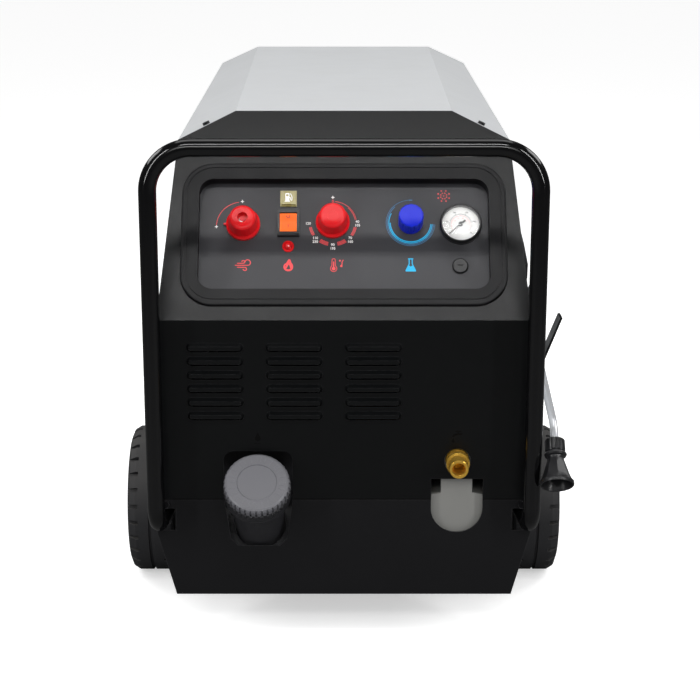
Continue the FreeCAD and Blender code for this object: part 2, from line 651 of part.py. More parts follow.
# Rear panel: closes the tray, the sides and the canopy, with a flue hole.
rear_panel = new_body("rear_panel")
rear_face = new_sketch(rear_panel, "rear_face", "XZ_Plane", "-rear_y")
outline(rear_face, mirrored([
    (side_half("rear_y"), "tray_z"),
    (side_half("rear_y"), "bend_z"),
    (eave_half("rear_y"), eave_height("rear_y")),
    ("ridge_half", "bend_z + fascia_tall"),
]))
pad(rear_panel, "rear_sheet", rear_face, "sheet_wall")
rear_holes = new_sketch(rear_panel, "rear_holes", "XZ_Plane", "-rear_y")
circle(rear_holes, "0", "flue_z", "flue_r + flue_gap")
for row in range(5):
    rounded(rear_holes, "0", "vent_z + %d * vent_pitch" % row, "vent_half", "vent_tall / 2",
            "vent_tall / 2 - 0.5")
circle(rear_holes, "outlet_x", "outlet_z", "outlet_r + sheet_wall")
pocket(rear_panel, "openings", rear_holes, "4 * sheet_wall", both=True)
place(rear_panel)

# Bezel: a raised ring with a groove, and a sleeve down to the panel.
panel_bezel = new_body("panel_bezel")
ring_plan = new_sketch(panel_bezel, "ring_plan", "XY_Plane")
rounded(ring_plan, "0", "0", "recess_wide / 2 + bezel_band", "recess_tall / 2 + bezel_band",
        "recess_corner + bezel_band")
pad(panel_bezel, "ring", ring_plan, "bezel_rise")
soften(panel_bezel, "ring_edge", "bezel_rise - 1.5",
       lambda e: abs(e.BoundBox.ZMin - at("bezel_rise")) < 0.01
       and abs(e.BoundBox.ZMax - at("bezel_rise")) < 0.01)
sleeve_plan = new_sketch(panel_bezel, "sleeve_plan", "XY_Plane", "-recess_deep")
rounded(sleeve_plan, "0", "0", "recess_wide / 2 + bezel_skirt", "recess_tall / 2 + bezel_skirt",
        "recess_corner + bezel_skirt")
pad(panel_bezel, "sleeve", sleeve_plan, "recess_deep + 1")
mouth_plan = new_sketch(panel_bezel, "mouth_plan", "XY_Plane", "-recess_deep - 1")
rounded(mouth_plan, "0", "0", "recess_wide / 2", "recess_tall / 2", "recess_corner")
pocket(panel_bezel, "mouth", mouth_plan, "recess_deep + bezel_rise + 2", backward=True)
groove_plan = new_sketch(panel_bezel, "groove_plan", "XY_Plane", "bezel_rise - 1.6")
rounded(groove_plan, "0", "0", "recess_wide / 2 + bezel_band - 8", "recess_tall / 2 + bezel_band - 8",
        "recess_corner + bezel_band - 8")
rounded(groove_plan, "0", "0", "recess_wide / 2 + bezel_band - 11", "recess_tall / 2 + bezel_band - 11",
        "recess_corner + bezel_band - 11")
pocket(panel_bezel, "groove", groove_plan, "2", backward=True)
place_on_fascia(panel_bezel, "0", "recess_u", "0")

# Control panel: the flat plate at the bottom of the recess.
control_panel = new_body("control_panel")
panel_plan = new_sketch(control_panel, "panel_plan", "XY_Plane", "-sheet_wall")
rounded(panel_plan, "0", "0", "recess_wide / 2 + panel_lap", "recess_tall / 2 + panel_lap",
        "recess_corner + panel_lap")
for x, u, r in ((PUMP_X, "pump_knob_u", "bush_r"), ("thermo_x", "thermo_u", "bush_r"),
                (DOSING_X, "thermo_u", "bush_r"), (GAUGE_X, "gauge_u", "gauge_r - 5"),
                (SWITCH_X, "burner_lamp_u", "burner_lamp_r"), (GAUGE_X + " - 2", "plug_u", "plug_r - 3")):
    circle(panel_plan, x, "%s - recess_u" % u, r)
for u, half_wide, half_tall in (("switch_u", "switch_wide / 2", "switch_tall / 2"),
                                ("lamp_u", "lamp_half", "lamp_half")):
    outline(panel_plan, [(SWITCH_X + sx + "(%s - 3)" % half_wide,
                          "%s - recess_u %s (%s - 3)" % (u, su, half_tall))
                         for sx, su in ((" - ", "-"), (" + ", "-"), (" + ", "+"), (" - ", "+"))])
pad(control_panel, "plate", panel_plan, "sheet_wall")
place_on_fascia(control_panel, "0", "recess_u", "-recess_deep")


def control_body(label, x, u, half, deep):
    """Valve or regulator behind the panel, with a bush through it."""
    part = new_body(label)
    box(part, "case", ("-%s" % half, half), ("-%s" % half, half), ("-sheet_wall - %s" % deep, "-sheet_wall"))
    disc(part, "bush", "bush_r", "-sheet_wall - 1", "bush_tall")
    place_on_fascia(part, x, u, "-recess_deep")
    return part


control_body("pressure_regulator", PUMP_X, "pump_knob_u", "24", "46")
control_body("thermostat", "thermo_x", "thermo_u", "20", "34")
control_body("dosing_valve", DOSING_X, "thermo_u", "17", "40")


def knob(label, x, u, corners, cup=None):
    """Turned knob that sits over its bush, with a pointer on its flange."""
    part = new_body(label)
    revolve(part, "form", [("bush_r + axle_fit", "knob_gap")] + corners
            + [("0", corners[-1][1]), ("0", "bush_tall + 1"), ("bush_r + axle_fit", "bush_tall + 1")])
    if cup:
        bowl = new_sketch(part, "cup_plan", "XY_Plane", corners[-1][1])
        circle(bowl, "0", "0", cup)
        pocket(part, "cup", bowl, "10")
    place_on_fascia(part, x, u, "-recess_deep")
    return part


pump_knob = knob("pump_knob", PUMP_X, "pump_knob_u", [
    ("knob_r", "knob_gap"), ("knob_r", "7"), ("knob_r - 2", "9"), ("knob_r - 3.5", "11"),
    ("knob_r - 6.5", "knob_tall - 3"), ("knob_r - 8.5", "knob_tall - 0.8"), ("knob_r - 11", "knob_tall")],
    "8.5")
pointer = new_sketch(pump_knob, "pointer_plan", "XY_Plane", "2")
outline(pointer, [("-knob_r - 4", "-1"), ("-knob_r + 1", "-2"), ("-knob_r + 1", "2"), ("-knob_r - 4", "1")])
pad(pump_knob, "pointer", pointer, "4")
screw_head = new_sketch(pump_knob, "screw_plan", "XY_Plane", "knob_tall - 10")
circle(screw_head, "0", "0", "4.5")
pad(pump_knob, "screw_head", screw_head, "3")
thermostat_knob = knob("thermostat_knob", "thermo_x", "thermo_u", [
    ("knob_r", "knob_gap"), ("knob_r", "6"), ("knob_r - 2", "8"), ("knob_r - 3.5", "10"),
    ("knob_r - 6", "knob_tall - 3"), ("knob_r - 8", "knob_tall - 0.8"), ("knob_r - 10", "knob_tall")])
mark = new_sketch(thermostat_knob, "mark_plan", "XY_Plane", "knob_tall - 1.2")
outline(mark, [("-1", "knob_r - 16"), ("1", "knob_r - 16"), ("1", "knob_r"), ("-1", "knob_r")])
pocket(thermostat_knob, "mark", mark, "2", backward=True)
chemical_knob = knob("chemical_knob", DOSING_X, "thermo_u", [
    ("dose_r", "knob_gap"), ("dose_r", "dose_tall - 2"), ("dose_r - 2", "dose_tall")])
flute = new_sketch(chemical_knob, "flute_plan", "XY_Plane", "9")
circle(flute, "dose_r + 1.4", "0", "2.4")
flutes = pocket(chemical_knob, "flute", flute, "dose_tall", backward=True)
around(chemical_knob, "flutes", [flutes], "dose_flutes")

# Pressure gauge: case through the panel, dial, needle on its pin, lens.
gauge_case = new_body("gauge_case")
revolve(gauge_case, "case", [
    ("0", "-28"), ("gauge_r - 6", "-28"), ("gauge_r - 6", "0"), ("gauge_r", "0"), ("gauge_r", "8"),
    ("gauge_r - 2", "11"), ("gauge_r - 4", "11"), ("gauge_r - 4", "2"), ("0", "2")])
disc(gauge_case, "stem", "7", "-40", "-27")
disc(gauge_case, "pin", "1.5", "1", "7.5")
place_on_fascia(gauge_case, GAUGE_X, "gauge_u", "-recess_deep")
gauge_dial = new_body("gauge_dial")
disc(gauge_dial, "dial", "gauge_r - 4", "2", "3", "2")
place_on_fascia(gauge_dial, GAUGE_X, "gauge_u", "-recess_deep")
gauge_lens = new_body("gauge_lens")
disc(gauge_lens, "lens", "gauge_r - 4", "8.5", "10")
place_on_fascia(gauge_lens, GAUGE_X, "gauge_u", "-recess_deep")
gauge_needle = new_body("gauge_needle")
disc(gauge_needle, "boss", "3.5", "4.5", "7.5", "1.5 + axle_fit")
blade = new_sketch(gauge_needle, "blade_plan", "XY_Plane", "4.5")
blade.AttachmentOffset = Placement(Vector(0, 0, 4.5), Rotation(Z_AXIS, at("needle_turn")))
bind(blade, "AttachmentOffset.Rotation.Angle", "needle_turn")
outline(blade, [("-3", "-0.6"), ("-gauge_r + 9", "-0.3"), ("-gauge_r + 9", "0.3"), ("-3", "0.6")])
outline(blade, [("3", "-1.6"), ("10", "-1.6"), ("10", "1.6"), ("3", "1.6")])
pad(gauge_needle, "blade", blade, "1.2")
place_on_fascia(gauge_needle, GAUGE_X, "gauge_u", "-recess_deep")

# Switch: housing with a cradle, and the rocker that tilts in it.
switch_housing = new_body("switch_housing")
box(switch_housing, "frame", ("-switch_wide / 2", "switch_wide / 2"),
    ("-switch_tall / 2", "switch_tall / 2"), ("0", "9"))
box(switch_housing, "body", ("-switch_wide / 2 + 3", "switch_wide / 2 - 3"),
    ("-switch_tall / 2 + 3", "switch_tall / 2 - 3"), ("-26", "1"))
box(switch_housing, "cradle", ("-rocker_half - 0.5", "rocker_half + 0.5"),
    ("-rocker_tall / 2 - 0.8", "rocker_tall / 2 + 0.8"), ("-12", "9"), pierce=True)
place_on_fascia(switch_housing, SWITCH_X, "switch_u", "-recess_deep")
rocker_switch = new_body("rocker_switch")
rocker_side = new_sketch(rocker_switch, "rocker_side", "YZ_Plane")
outline(rocker_side, [("-rocker_tall / 2", "2"), ("-4", "-8"), ("4", "-8"), ("rocker_tall / 2", "2"),
                      ("rocker_tall / 2 - 3", "13"), ("0", "9.5"), ("-rocker_tall / 2", "9")])
pad(rocker_switch, "rocker", rocker_side, "2 * rocker_half", both=True)
place_on_fascia(rocker_switch, SWITCH_X, "switch_u", "-recess_deep")
fuel_lamp = new_body("fuel_lamp")
box(fuel_lamp, "collar", ("-lamp_half", "lamp_half"), ("-lamp_half", "lamp_half"), ("0", "3"))
box(fuel_lamp, "window", ("-lamp_half + 2", "lamp_half - 2"), ("-lamp_half + 2", "lamp_half - 2"), ("2", "8"))
box(fuel_lamp, "body", ("-lamp_half + 3", "lamp_half - 3"), ("-lamp_half + 3", "lamp_half - 3"), ("-22", "1"))
place_on_fascia(fuel_lamp, SWITCH_X, "lamp_u", "-recess_deep")
burner_lamp = new_body("burner_lamp")
revolve(burner_lamp, "lamp", [
    ("0", "-20"), ("burner_lamp_r", "-20"), ("burner_lamp_r", "0"), ("burner_lamp_r + 2", "0"),
    ("burner_lamp_r + 2", "2.5"), ("burner_lamp_r - 1", "3"), ("burner_lamp_r - 2", "8"),
    ("burner_lamp_r - 4", "10"), ("0", "11")])
place_on_fascia(burner_lamp, SWITCH_X, "burner_lamp_u", "-recess_deep")
blanking_plug = new_body("blanking_plug")
revolve(blanking_plug, "plug", [
    ("0", "-7"), ("plug_r - 3", "-7"), ("plug_r - 3", "0"), ("plug_r", "0"), ("plug_r", "2"),
    ("plug_r - 2", "4"), ("0", "4")])
plug_slot = new_sketch(blanking_plug, "slot_plan", "XY_Plane", "2.5")
rounded(plug_slot, "0", "0", "5.5", "1.3", "1")
pocket(blanking_plug, "slot", plug_slot, "3", backward=True)
place_on_fascia(blanking_plug, GAUGE_X + " - 2", "plug_u", "-recess_deep")


def tilted_sketch(body, name, x, y, z, angle):
    """Sketch whose normal tips forward from Z by an angle about X."""
    sketch = new_sketch(body, name, "XY_Plane")
    sketch.AttachmentOffset = Placement(Vector(at(x), at(y), at(z)), Rotation(X_AXIS, at(angle)))
    bind(sketch, "AttachmentOffset.Base.x", x)
    bind(sketch, "AttachmentOffset.Base.y", y)
    bind(sketch, "AttachmentOffset.Base.z", z)
    bind(sketch, "AttachmentOffset.Rotation.Angle", angle)
    return sketch


# Fuel tank: moulded box with a sloped shoulder that carries the filler neck.
fuel_tank = new_body("fuel_tank")
tank_side = new_sketch(fuel_tank, "tank_side", "YZ_Plane", "filler_x - tank_half")
outline(tank_side, [
    ("neck_y - (neck_r + 3) * sin(neck_tilt)", "tray_z + tray_wall"),
    ("neck_y - (neck_r + 3) * sin(neck_tilt)", "neck_z - (neck_r + 3) * cos(neck_tilt)"),
    ("neck_y + (neck_r + 16) * sin(neck_tilt)", "neck_z + (neck_r + 16) * cos(neck_tilt)"),
    ("neck_y + (neck_r + 16) * sin(neck_tilt)", "tank_top_z"),
    ("tank_rear_y", "tank_top_z"),
    ("tank_rear_y", "tray_z + tray_wall"),
])
pad(fuel_tank, "tank", tank_side, "2 * tank_half")
soften(fuel_tank, "tank_edges", "12", lambda e: abs(e.BoundBox.ZMin - at("tank_top_z")) < 0.01
       and e.BoundBox.XLength > 1 and e.BoundBox.YLength < 0.01)
neck_plan = tilted_sketch(fuel_tank, "neck_plan", "filler_x", "neck_y + neck_root * cos(neck_tilt)",
                          "neck_z - neck_root * sin(neck_tilt)", "90 - neck_tilt")
circle(neck_plan, "0", "0", "neck_r")
pad(fuel_tank, "neck", neck_plan, "neck_long + neck_root")
throat_plan = tilted_sketch(fuel_tank, "throat_plan", "filler_x", "neck_y", "neck_z", "90 - neck_tilt")
circle(throat_plan, "0", "0", "neck_r - neck_wall")
pocket(fuel_tank, "throat", throat_plan, "neck_long + 1", backward=True)
place(fuel_tank)


def place_on_neck(item):
    """Place a piece with its Z axis up the filler neck."""
    place(item, "filler_x", "neck_y", "neck_z", X_AXIS, "90 - neck_tilt")


cap_seal = new_body("cap_seal")
disc(cap_seal, "seal", "neck_r", "neck_long", "neck_long + seal_tall", "neck_r - neck_wall")
place_on_neck(cap_seal)
fuel_cap = new_body("fuel_cap")
cap_low = "neck_long + seal_tall + cap_lid - cap_tall"
revolve(fuel_cap, "cap", [
    ("neck_r + thread_gap", cap_low), ("cap_r", cap_low), ("cap_r", "neck_long + seal_tall + cap_lid - 5"),
    ("cap_r - 2", "neck_long + seal_tall + cap_lid - 1.5"), ("cap_r - 5", "neck_long + seal_tall + cap_lid"),
    ("cap_ring_r + 1.5", "neck_long + seal_tall + cap_lid"),
    ("cap_ring_r", "neck_long + seal_tall + cap_lid - 1.5"),
    ("0", "neck_long + seal_tall + cap_lid - 1.5"), ("0", "neck_long + seal_tall"),
    ("neck_r + thread_gap", "neck_long + seal_tall")])
grip = new_sketch(fuel_cap, "grip_plan", "XY_Plane", cap_low + " + 4")
outline(grip, [("cap_r - 2.2", "-1"), ("cap_r + 1", "-2.2"), ("cap_r + 1", "2.2"), ("cap_r - 2.2", "1")])
grips = pocket(fuel_cap, "grip", grip, "cap_tall", backward=True)
around(fuel_cap, "grips", [grips], "cap_teeth")
place_on_neck(fuel_cap)

# Float tank: the water tank behind the window, and the brass inlet on it.
float_tank = new_body("float_tank")
float_face = new_sketch(float_tank, "float_face", "XZ_Plane", "-float_y")
outline(float_face, [
    ("inlet_x - float_half", "tray_z + tray_wall"), ("inlet_x + float_half", "tray_z + tray_wall"),
    ("inlet_x + float_half", "float_shoulder_z"), ("inlet_x + float_neck_half", "float_shoulder_z + 8"),
    ("inlet_x + float_neck_half", "inlet_z + float_neck_half"),
    ("inlet_x - float_neck_half", "inlet_z + float_neck_half"),
    ("inlet_x - float_neck_half", "float_shoulder_z + 8"), ("inlet_x - float_half", "float_shoulder_z")])
pad(float_tank, "moulding", float_face, "float_long", backward=True)
place(float_tank)
inlet_fitting = new_body("inlet_fitting")
revolve(inlet_fitting, "fitting", [
    ("0", "0"), ("19", "0"), ("19", "7"), ("17", "9"), ("17", "22"), ("19", "23"), ("19", "28"),
    ("16", "31"), ("14", "46"), ("15.5", "47.5"), ("15.5", "inlet_long - 1.5"), ("14.5", "inlet_long"),
    ("inlet_bore_r + 1", "inlet_long"), ("inlet_bore_r", "inlet_long - 1"),
    ("inlet_bore_r", "inlet_long - inlet_deep"),
    ("0", "inlet_long - inlet_deep")])
place(inlet_fitting, "inlet_x", "float_y", "inlet_z", X_AXIS, "90")

# Push handle: one bent tube, its feet turned back beside the tray.
low, top, ahead = at("handle_foot_z"), at("handle_top_z"), -at("handle_ahead")
half, foot_half, foot_y = at("handle_half"), at("handle_foot_half"), at("handle_foot_y")
handle_path = rounded_path([
    Vector(-foot_half, foot_y, low), Vector(-half, ahead, low), Vector(-half, ahead, top),
    Vector(half, ahead, top), Vector(half, ahead, low), Vector(foot_half, foot_y, low),
], [at("foot_bend"), at("handle_bend"), at("handle_bend"), at("foot_bend")])
handle_bar = tube(handle_path, at("handle_r"))
handle_bore = tube(handle_path, at("handle_r - handle_wall"))
push_handle = feature_from("push_handle", handle_bar.cut(handle_bore))


def cylinder(label, x, y, z, axis, angle, radius, length):
    """Round bar from a point, along Z turned about an axis."""
    item = doc.addObject("Part::Cylinder", label)
    item.Radius = at(radius)
    item.Height = at(length)
    bind(item, "Radius", radius)
    bind(item, "Height", length)
    place(item, x, y, z, axis, angle)
    return item


def group(label, items):
    """Several separate solids that share one file."""
    item = doc.addObject("Part::Compound", label)
    item.Label = label
    item.Links = items
    return item


def cut(label, base, tool):
    """One primitive less another."""
    item = doc.addObject("Part::Cut", label)
    item.Base = base
    item.Tool = tool
    return item


group("handle_bolts", [cylinder("handle_bolt_%d" % i, side + "(handle_foot_half + 1)", "0",
                                "notch_top_z + 7.5",
                                X_AXIS, "90", "6.5", "5") for i, side in enumerate(("-", ""))])
bevel_screws = []
for i, side in enumerate(("-", "")):
    screw_z = "bend_z + fascia_tall - bevel_fall * screw_in"
    bevel_screws.append(cylinder("canopy_screw_%d" % i, side + "(ridge_half + screw_in)",
                                 "(%s - bend_z) * tan(fascia_lean) + screw_back" % screw_z, screw_z,
                                 Y_AXIS, side + "atan(bevel_fall)", "6", "4"))
group("canopy_screws", bevel_screws)

# Wheel axle: a channel under the tray, the axle, its spacers and caps.
axle_beam = new_body("axle_beam")
box(axle_beam, "channel", ("-beam_half", "beam_half"), ("-beam_wide / 2", "beam_wide / 2"),
    ("wheel_r - 18", "tray_z"))
box(axle_beam, "channel_hollow", ("-beam_half + 4", "beam_half - 4"),
    ("-beam_wide / 2 + 3", "beam_wide / 2 - 3"),
    ("wheel_r - 19", "tray_z - 3"), pierce=True)
axle_hole = new_sketch(axle_beam, "axle_hole", "YZ_Plane")
circle(axle_hole, "0", "wheel_r", "axle_r")
pocket(axle_beam, "axle_holes", axle_hole, both=True)
place(axle_beam, "0", "axle_y", "0")
wheel_axle = cylinder("wheel_axle", "-wheel_out + 4", "axle_y", "wheel_r", Y_AXIS, "90", "axle_r",
                      "2 * (wheel_out - 4)")


hub_in = "wheel_out - tyre_wide / 2 - hub_long / 2"
hub_out = "wheel_out - tyre_wide / 2 + hub_long / 2"
collars = []
for i, (x, radius, length) in enumerate([
    ("-(%s - hub_gap)" % hub_in, "15", "%s - hub_gap - beam_half" % hub_in),
    ("beam_half", "15", "%s - hub_gap - beam_half" % hub_in),
    ("-wheel_out", "17", "wheel_out - (%s) - hub_gap" % hub_out),
    ("%s + hub_gap" % hub_out, "17", "wheel_out - (%s) - hub_gap" % hub_out),
]):
    outer = cylinder("collar_%d" % i, x, "axle_y", "wheel_r", Y_AXIS, "90", radius, length)
    axle_room = cylinder("collar_bore_%d" % i, "-wheel_out + 4", "axle_y", "wheel_r", Y_AXIS, "90", "axle_r",
                         "2 * (wheel_out - 4)")
    collars.append(cut("collar_ring_%d" % i, outer, axle_room))
group("axle_collars", collars)


def place_wheel(item, sign):
    """Place a wheel piece on the axle, its Z axis to the right."""
    place(item, sign + "(wheel_out - tyre_wide / 2)", "axle_y", "wheel_r", Y_AXIS, "90")


def tyre(label, sign):
    """Tyre with a centre groove and notched shoulders."""
    part = new_body(label)
    half = [("rim_r", "tyre_wide / 2 - 9"), ("rim_r + 20", "tyre_wide / 2 - 2"),
            ("wheel_r - 16", "tyre_wide / 2"),
            ("wheel_r - 6", "tyre_wide / 2 - 4"), ("wheel_r", "tyre_wide / 2 - 14"), ("wheel_r", "3"),
            ("wheel_r - 4", "2")]
    revolve(part, "casing", half + [(x, "-(%s)" % y) for x, y in reversed(half)])
    notches = []
    for side, lift, back in (("outer", "tyre_wide / 2 - 19", True), ("inner", "-tyre_wide / 2 - 1", True)):
        plan = new_sketch(part, side + "_notch_plan", "XY_Plane", lift)
        outline(plan, [("wheel_r - 9", "-3"), ("wheel_r + 2", "-4"), ("wheel_r + 2", "4"),
                       ("wheel_r - 9", "3")])
        notches.append(pocket(part, side + "_notch", plan, "20", backward=back))
    around(part, "tread", notches, "tread_notches")
    place_wheel(part, sign)
    return part


def hub(label, sign):
    """Wheel rim, web and bored boss in one moulding."""
    part = new_body(label)
    half = [("axle_r + axle_fit", "hub_long / 2"), ("hub_r", "hub_long / 2"), ("hub_r", "5"),
            ("rim_r - 8", "5"),
            ("rim_r - 8", "tyre_wide / 2 - 9"), ("rim_r", "tyre_wide / 2 - 9")]
    revolve(part, "rim", half + [(x, "-(%s)" % y) for x, y in reversed(half)])
    place_wheel(part, sign)
    return part


side_by_side(tyre, "tyre")
side_by_side(hub, "wheel_hub")


# Swivel casters under the rear corners.
def caster_plate(label, sign):
    """Top plate with its swivel pin, bolted under the tray."""
    part = new_body(label)
    box(part, "plate", ("-50", "50"), ("-42", "42"), ("tray_z - 4", "tray_z"))
    sketch = new_sketch(part, "pin_plan", "XY_Plane", "fork_z")
    circle(sketch, "0", "0", "caster_pin_r")
    pad(part, "swivel_pin", sketch, "tray_z - 4 - fork_z")
    place(part, sign + "(caster_x)", "caster_y", "0")
    return part


def caster_fork(label, sign):
    """Swivelling fork with the wheel's pin across its legs."""
    part = new_body(label)
    side = new_sketch(part, "fork_side", "YZ_Plane")
    outline(side, [("-26", "fork_z"), ("-26", "fork_z + 11"), ("26", "fork_z + 11"), ("30", "fork_z"),
                   ("caster_trail + 14", "caster_r"), ("caster_trail + 8", "caster_r - 12"),
                   ("caster_trail - 8", "caster_r - 12"), ("caster_trail - 14", "caster_r")])
    pad(part, "fork", side, "caster_wide + 10", both=True)
    box(part, "wheel_room", ("-caster_wide / 2 - 2", "caster_wide / 2 + 2"), ("-60", "120"),
        ("caster_r - 20", "fork_z + 3"), pierce=True)
    swivel = new_sketch(part, "swivel_plan", "XY_Plane", "fork_z - 1")
    circle(swivel, "0", "0", "caster_pin_r + axle_fit")
    pocket(part, "swivel_bore", swivel, "20", backward=True)
    pin = new_sketch(part, "pin_plan", "YZ_Plane")
    circle(pin, "caster_trail", "caster_r", "caster_pin_r")
    pad(part, "wheel_pin", pin, "caster_wide + 12", both=True)
    place(part, sign + "(caster_x)", "caster_y", "0")
    return part


def caster_wheel(label, sign):
    """Solid caster wheel bored for its pin."""
    part = new_body(label)
    half = [("caster_pin_r + axle_fit", "caster_wide / 2"), ("18", "caster_wide / 2"), ("20", "6"),
            ("caster_r - 16", "6"), ("caster_r - 14", "caster_wide / 2 - 2"),
            ("caster_r - 3", "caster_wide / 2 - 3"),
            ("caster_r", "caster_wide / 2 - 7")]
    revolve(part, "wheel", half + [(x, "-(%s)" % y) for x, y in reversed(half)])
    place(part, sign + "(caster_x)", "caster_y + caster_trail", "caster_r", Y_AXIS, "90")
    return part


side_by_side(caster_plate, "caster_plate")
side_by_side(caster_fork, "caster_fork")
side_by_side(caster_wheel, "caster_wheel")

# Boiler, burner and flue.
boiler_drum = new_body("boiler_drum")
revolve(boiler_drum, "drum", [
    ("boiler_r - drum_wall", "tray_z + tray_wall"), ("boiler_r", "tray_z + tray_wall"),
    ("boiler_r", "tray_z + tray_wall + boiler_tall - 8"),
    ("boiler_r + 4", "tray_z + tray_wall + boiler_tall - 8"),
    ("boiler_r + 4", "tray_z + tray_wall + boiler_tall"),
    ("0", "tray_z + tray_wall + boiler_tall"), ("0", "tray_z + tray_wall + boiler_tall - drum_wall"),
    ("boiler_r - drum_wall", "tray_z + tray_wall + boiler_tall - drum_wall")])
place(boiler_drum, "0", "boiler_y", "0")
burner = new_body("burner")
disc(burner, "blower", "75", "0", "95")
box(burner, "duct", ("0", "120"), ("-42", "42"), ("12", "82"))
disc(burner, "fan_motor", "42", "94", "150")
place(burner, "0", "boiler_y", "tray_z + tray_wall + boiler_tall")
exhaust_flue = new_body("exhaust_flue")
flue_face = new_sketch(exhaust_flue, "flue_face", "XZ_Plane", "-(boiler_r - 30)")
circle(flue_face, "0", "flue_z", "flue_r")
circle(flue_face, "0", "flue_z", "flue_r - sheet_wall")
pad(exhaust_flue, "pipe", flue_face, "rear_y - boiler_y - boiler_r + 30 + flue_out", backward=True)
drum_room = new_sketch(exhaust_flue, "drum_room", "XY_Plane", "flue_z - flue_r - 5")
circle(drum_room, "0", "0", "boiler_r")
pocket(exhaust_flue, "drum_seat", drum_room, "2 * flue_r + 10", backward=True)
place(exhaust_flue, "0", "boiler_y", "0")

# Motor and pump on one shaft line.
motor_housing = new_body("motor_housing")
revolve(motor_housing, "housing", [
    ("shaft_r + axle_fit", "0"), ("motor_r", "0"), ("motor_r", "motor_long"), ("motor_r - 8", "motor_long"),
    ("motor_r - 8", "10"), ("shaft_r + axle_fit", "10")])
box(motor_housing, "foot", ("-60", "60"), ("motor_r - 6", "motor_z - tray_z - tray_wall"),
    ("20", "motor_long - 40"))
place(motor_housing, "motor_x", "motor_y", "motor_z", X_AXIS, "-90")
motor_rotor = new_body("motor_rotor")
revolve(motor_rotor, "rotor", [
    ("0", "-20"), ("shaft_r", "-20"), ("shaft_r", "30"), ("motor_r - 14", "30"),
    ("motor_r - 14", "motor_long - 60"),
    ("shaft_r", "motor_long - 60"), ("shaft_r", "motor_long - 10"), ("0", "motor_long - 10")])
place(motor_rotor, "motor_x", "motor_y", "motor_z", X_AXIS, "-90")
cooling_fan = new_body("cooling_fan")
disc(cooling_fan, "fan_hub", "26", "motor_long - 40", "motor_long - 12", "shaft_r")
fan_blade = new_sketch(cooling_fan, "blade_plan", "XY_Plane", "motor_long - 38")
outline(fan_blade, [("20", "-2"), ("motor_r - 14", "-2"), ("motor_r - 14", "2"), ("20", "2")])
blade_pad = pad(cooling_fan, "blade", fan_blade, "24")
around(cooling_fan, "blades", [blade_pad], "8")
place(cooling_fan, "motor_x", "motor_y", "motor_z", X_AXIS, "-90")
pump = new_body("high_pressure_pump")
box(pump, "crankcase", ("-48", "48"), ("-50", "motor_z - tray_z - tray_wall"), ("-70", "0"))
box(pump, "manifold", ("-42", "42"), ("-40", "30"), ("-120", "-69"))
pump_bore = new_sketch(pump, "shaft_plan", "XY_Plane", "-24")
circle(pump_bore, "0", "0", "shaft_r + axle_fit")
pocket(pump, "shaft_bore", pump_bore, "30", backward=True)
caps = new_sketch(pump, "valve_caps", "XZ_Plane", "39")
for column in range(3):
    circle(caps, "-26 + %d" % (26 * column), "-96", "10")
pad(pump, "caps", caps, "12")
place(pump, "motor_x", "motor_y", "motor_z", X_AXIS, "-90")
outlet_fitting = new_body("outlet_fitting")
revolve(outlet_fitting, "fitting", [
    ("outlet_r - 5", "-30"), ("outlet_r + sheet_wall", "-30"), ("outlet_r + sheet_wall", "0"),
    ("outlet_r + 6", "0"), ("outlet_r + 6", "8"), ("outlet_r", "8"), ("outlet_r", "30"),
    ("outlet_r - 5", "30")])
place(outlet_fitting, "outlet_x", "rear_y", "outlet_z", X_AXIS, "-90")

# Lance: pipe with a bent front end, its nozzle guard and the trigger gun.
lance_turn = math.radians(at("nozzle_down"))
rise = math.radians(at("lance_rise"))
lance_x = at("lance_x")
bend_point = Vector(lance_x, at("lance_bend_y"), at("lance_bend_z"))
tip = bend_point + Vector(0, -math.cos(lance_turn), -math.sin(lance_turn)) * at("lance_tip_long")
tail = bend_point + Vector(0, math.cos(rise), math.sin(rise)) * at("lance_long")
lance_path = rounded_path([tip, bend_point, tail], [at("lance_bend_r")])
lance_pipe = feature_from("lance_pipe",
                          tube(lance_path, at("lance_r")).cut(tube(lance_path, at("lance_r - 1.5"))))
tip_y = "lance_bend_y - lance_tip_long * cos(nozzle_down)"
tip_z = "lance_bend_z - lance_tip_long * sin(nozzle_down)"
nozzle_guard = new_body("nozzle_guard")
revolve(nozzle_guard, "guard", [
    ("0", "0"), ("12", "0"), ("14", "2"), ("14", "16"), ("15.5", "17"), ("15.5", "30"), ("guard_r - 4", "48"),
    ("guard_r", "guard_long - 14"), ("guard_r", "guard_long"), ("guard_r - 3.5", "guard_long"),
    ("guard_r - 5", "50"),
    ("10", "34"), ("0", "34")])
place(nozzle_guard, "lance_x", tip_y, tip_z, X_AXIS, "90 + nozzle_down")
tail_y = "lance_bend_y + lance_long * cos(lance_rise)"
tail_z = "lance_bend_z + lance_long * sin(lance_rise)"
gun_body = new_body("gun_body")
gun_side = new_sketch(gun_body, "gun_side", "YZ_Plane")
outline(gun_side, [("0", "-15"), ("30", "-17"), ("76", "-128"), ("150", "-128"), ("180", "-20"), ("184", "4"),
                   ("160", "20"), ("90", "22"), ("0", "15")])
outline(gun_side, [("46", "-26"), ("132", "-26"), ("124", "-112"), ("82", "-112")])
pad(gun_body, "moulding", gun_side, "2 * gun_half", both=True)
box(gun_body, "trigger_slot", ("-trigger_half - 0.5", "trigger_half + 0.5"), ("60", "96"), ("-40", "-6"),
    pierce=True)
gun_pin = new_sketch(gun_body, "pin_side", "YZ_Plane")
circle(gun_pin, "78", "-17", "trigger_pin_r")
pad(gun_body, "trigger_pin", gun_pin, "2 * gun_half", both=True)
place(gun_body, "lance_x", tail_y, tail_z, X_AXIS, "lance_rise")
gun_trigger = new_body("gun_trigger")
trigger_side = new_sketch(gun_trigger, "trigger_side", "YZ_Plane")
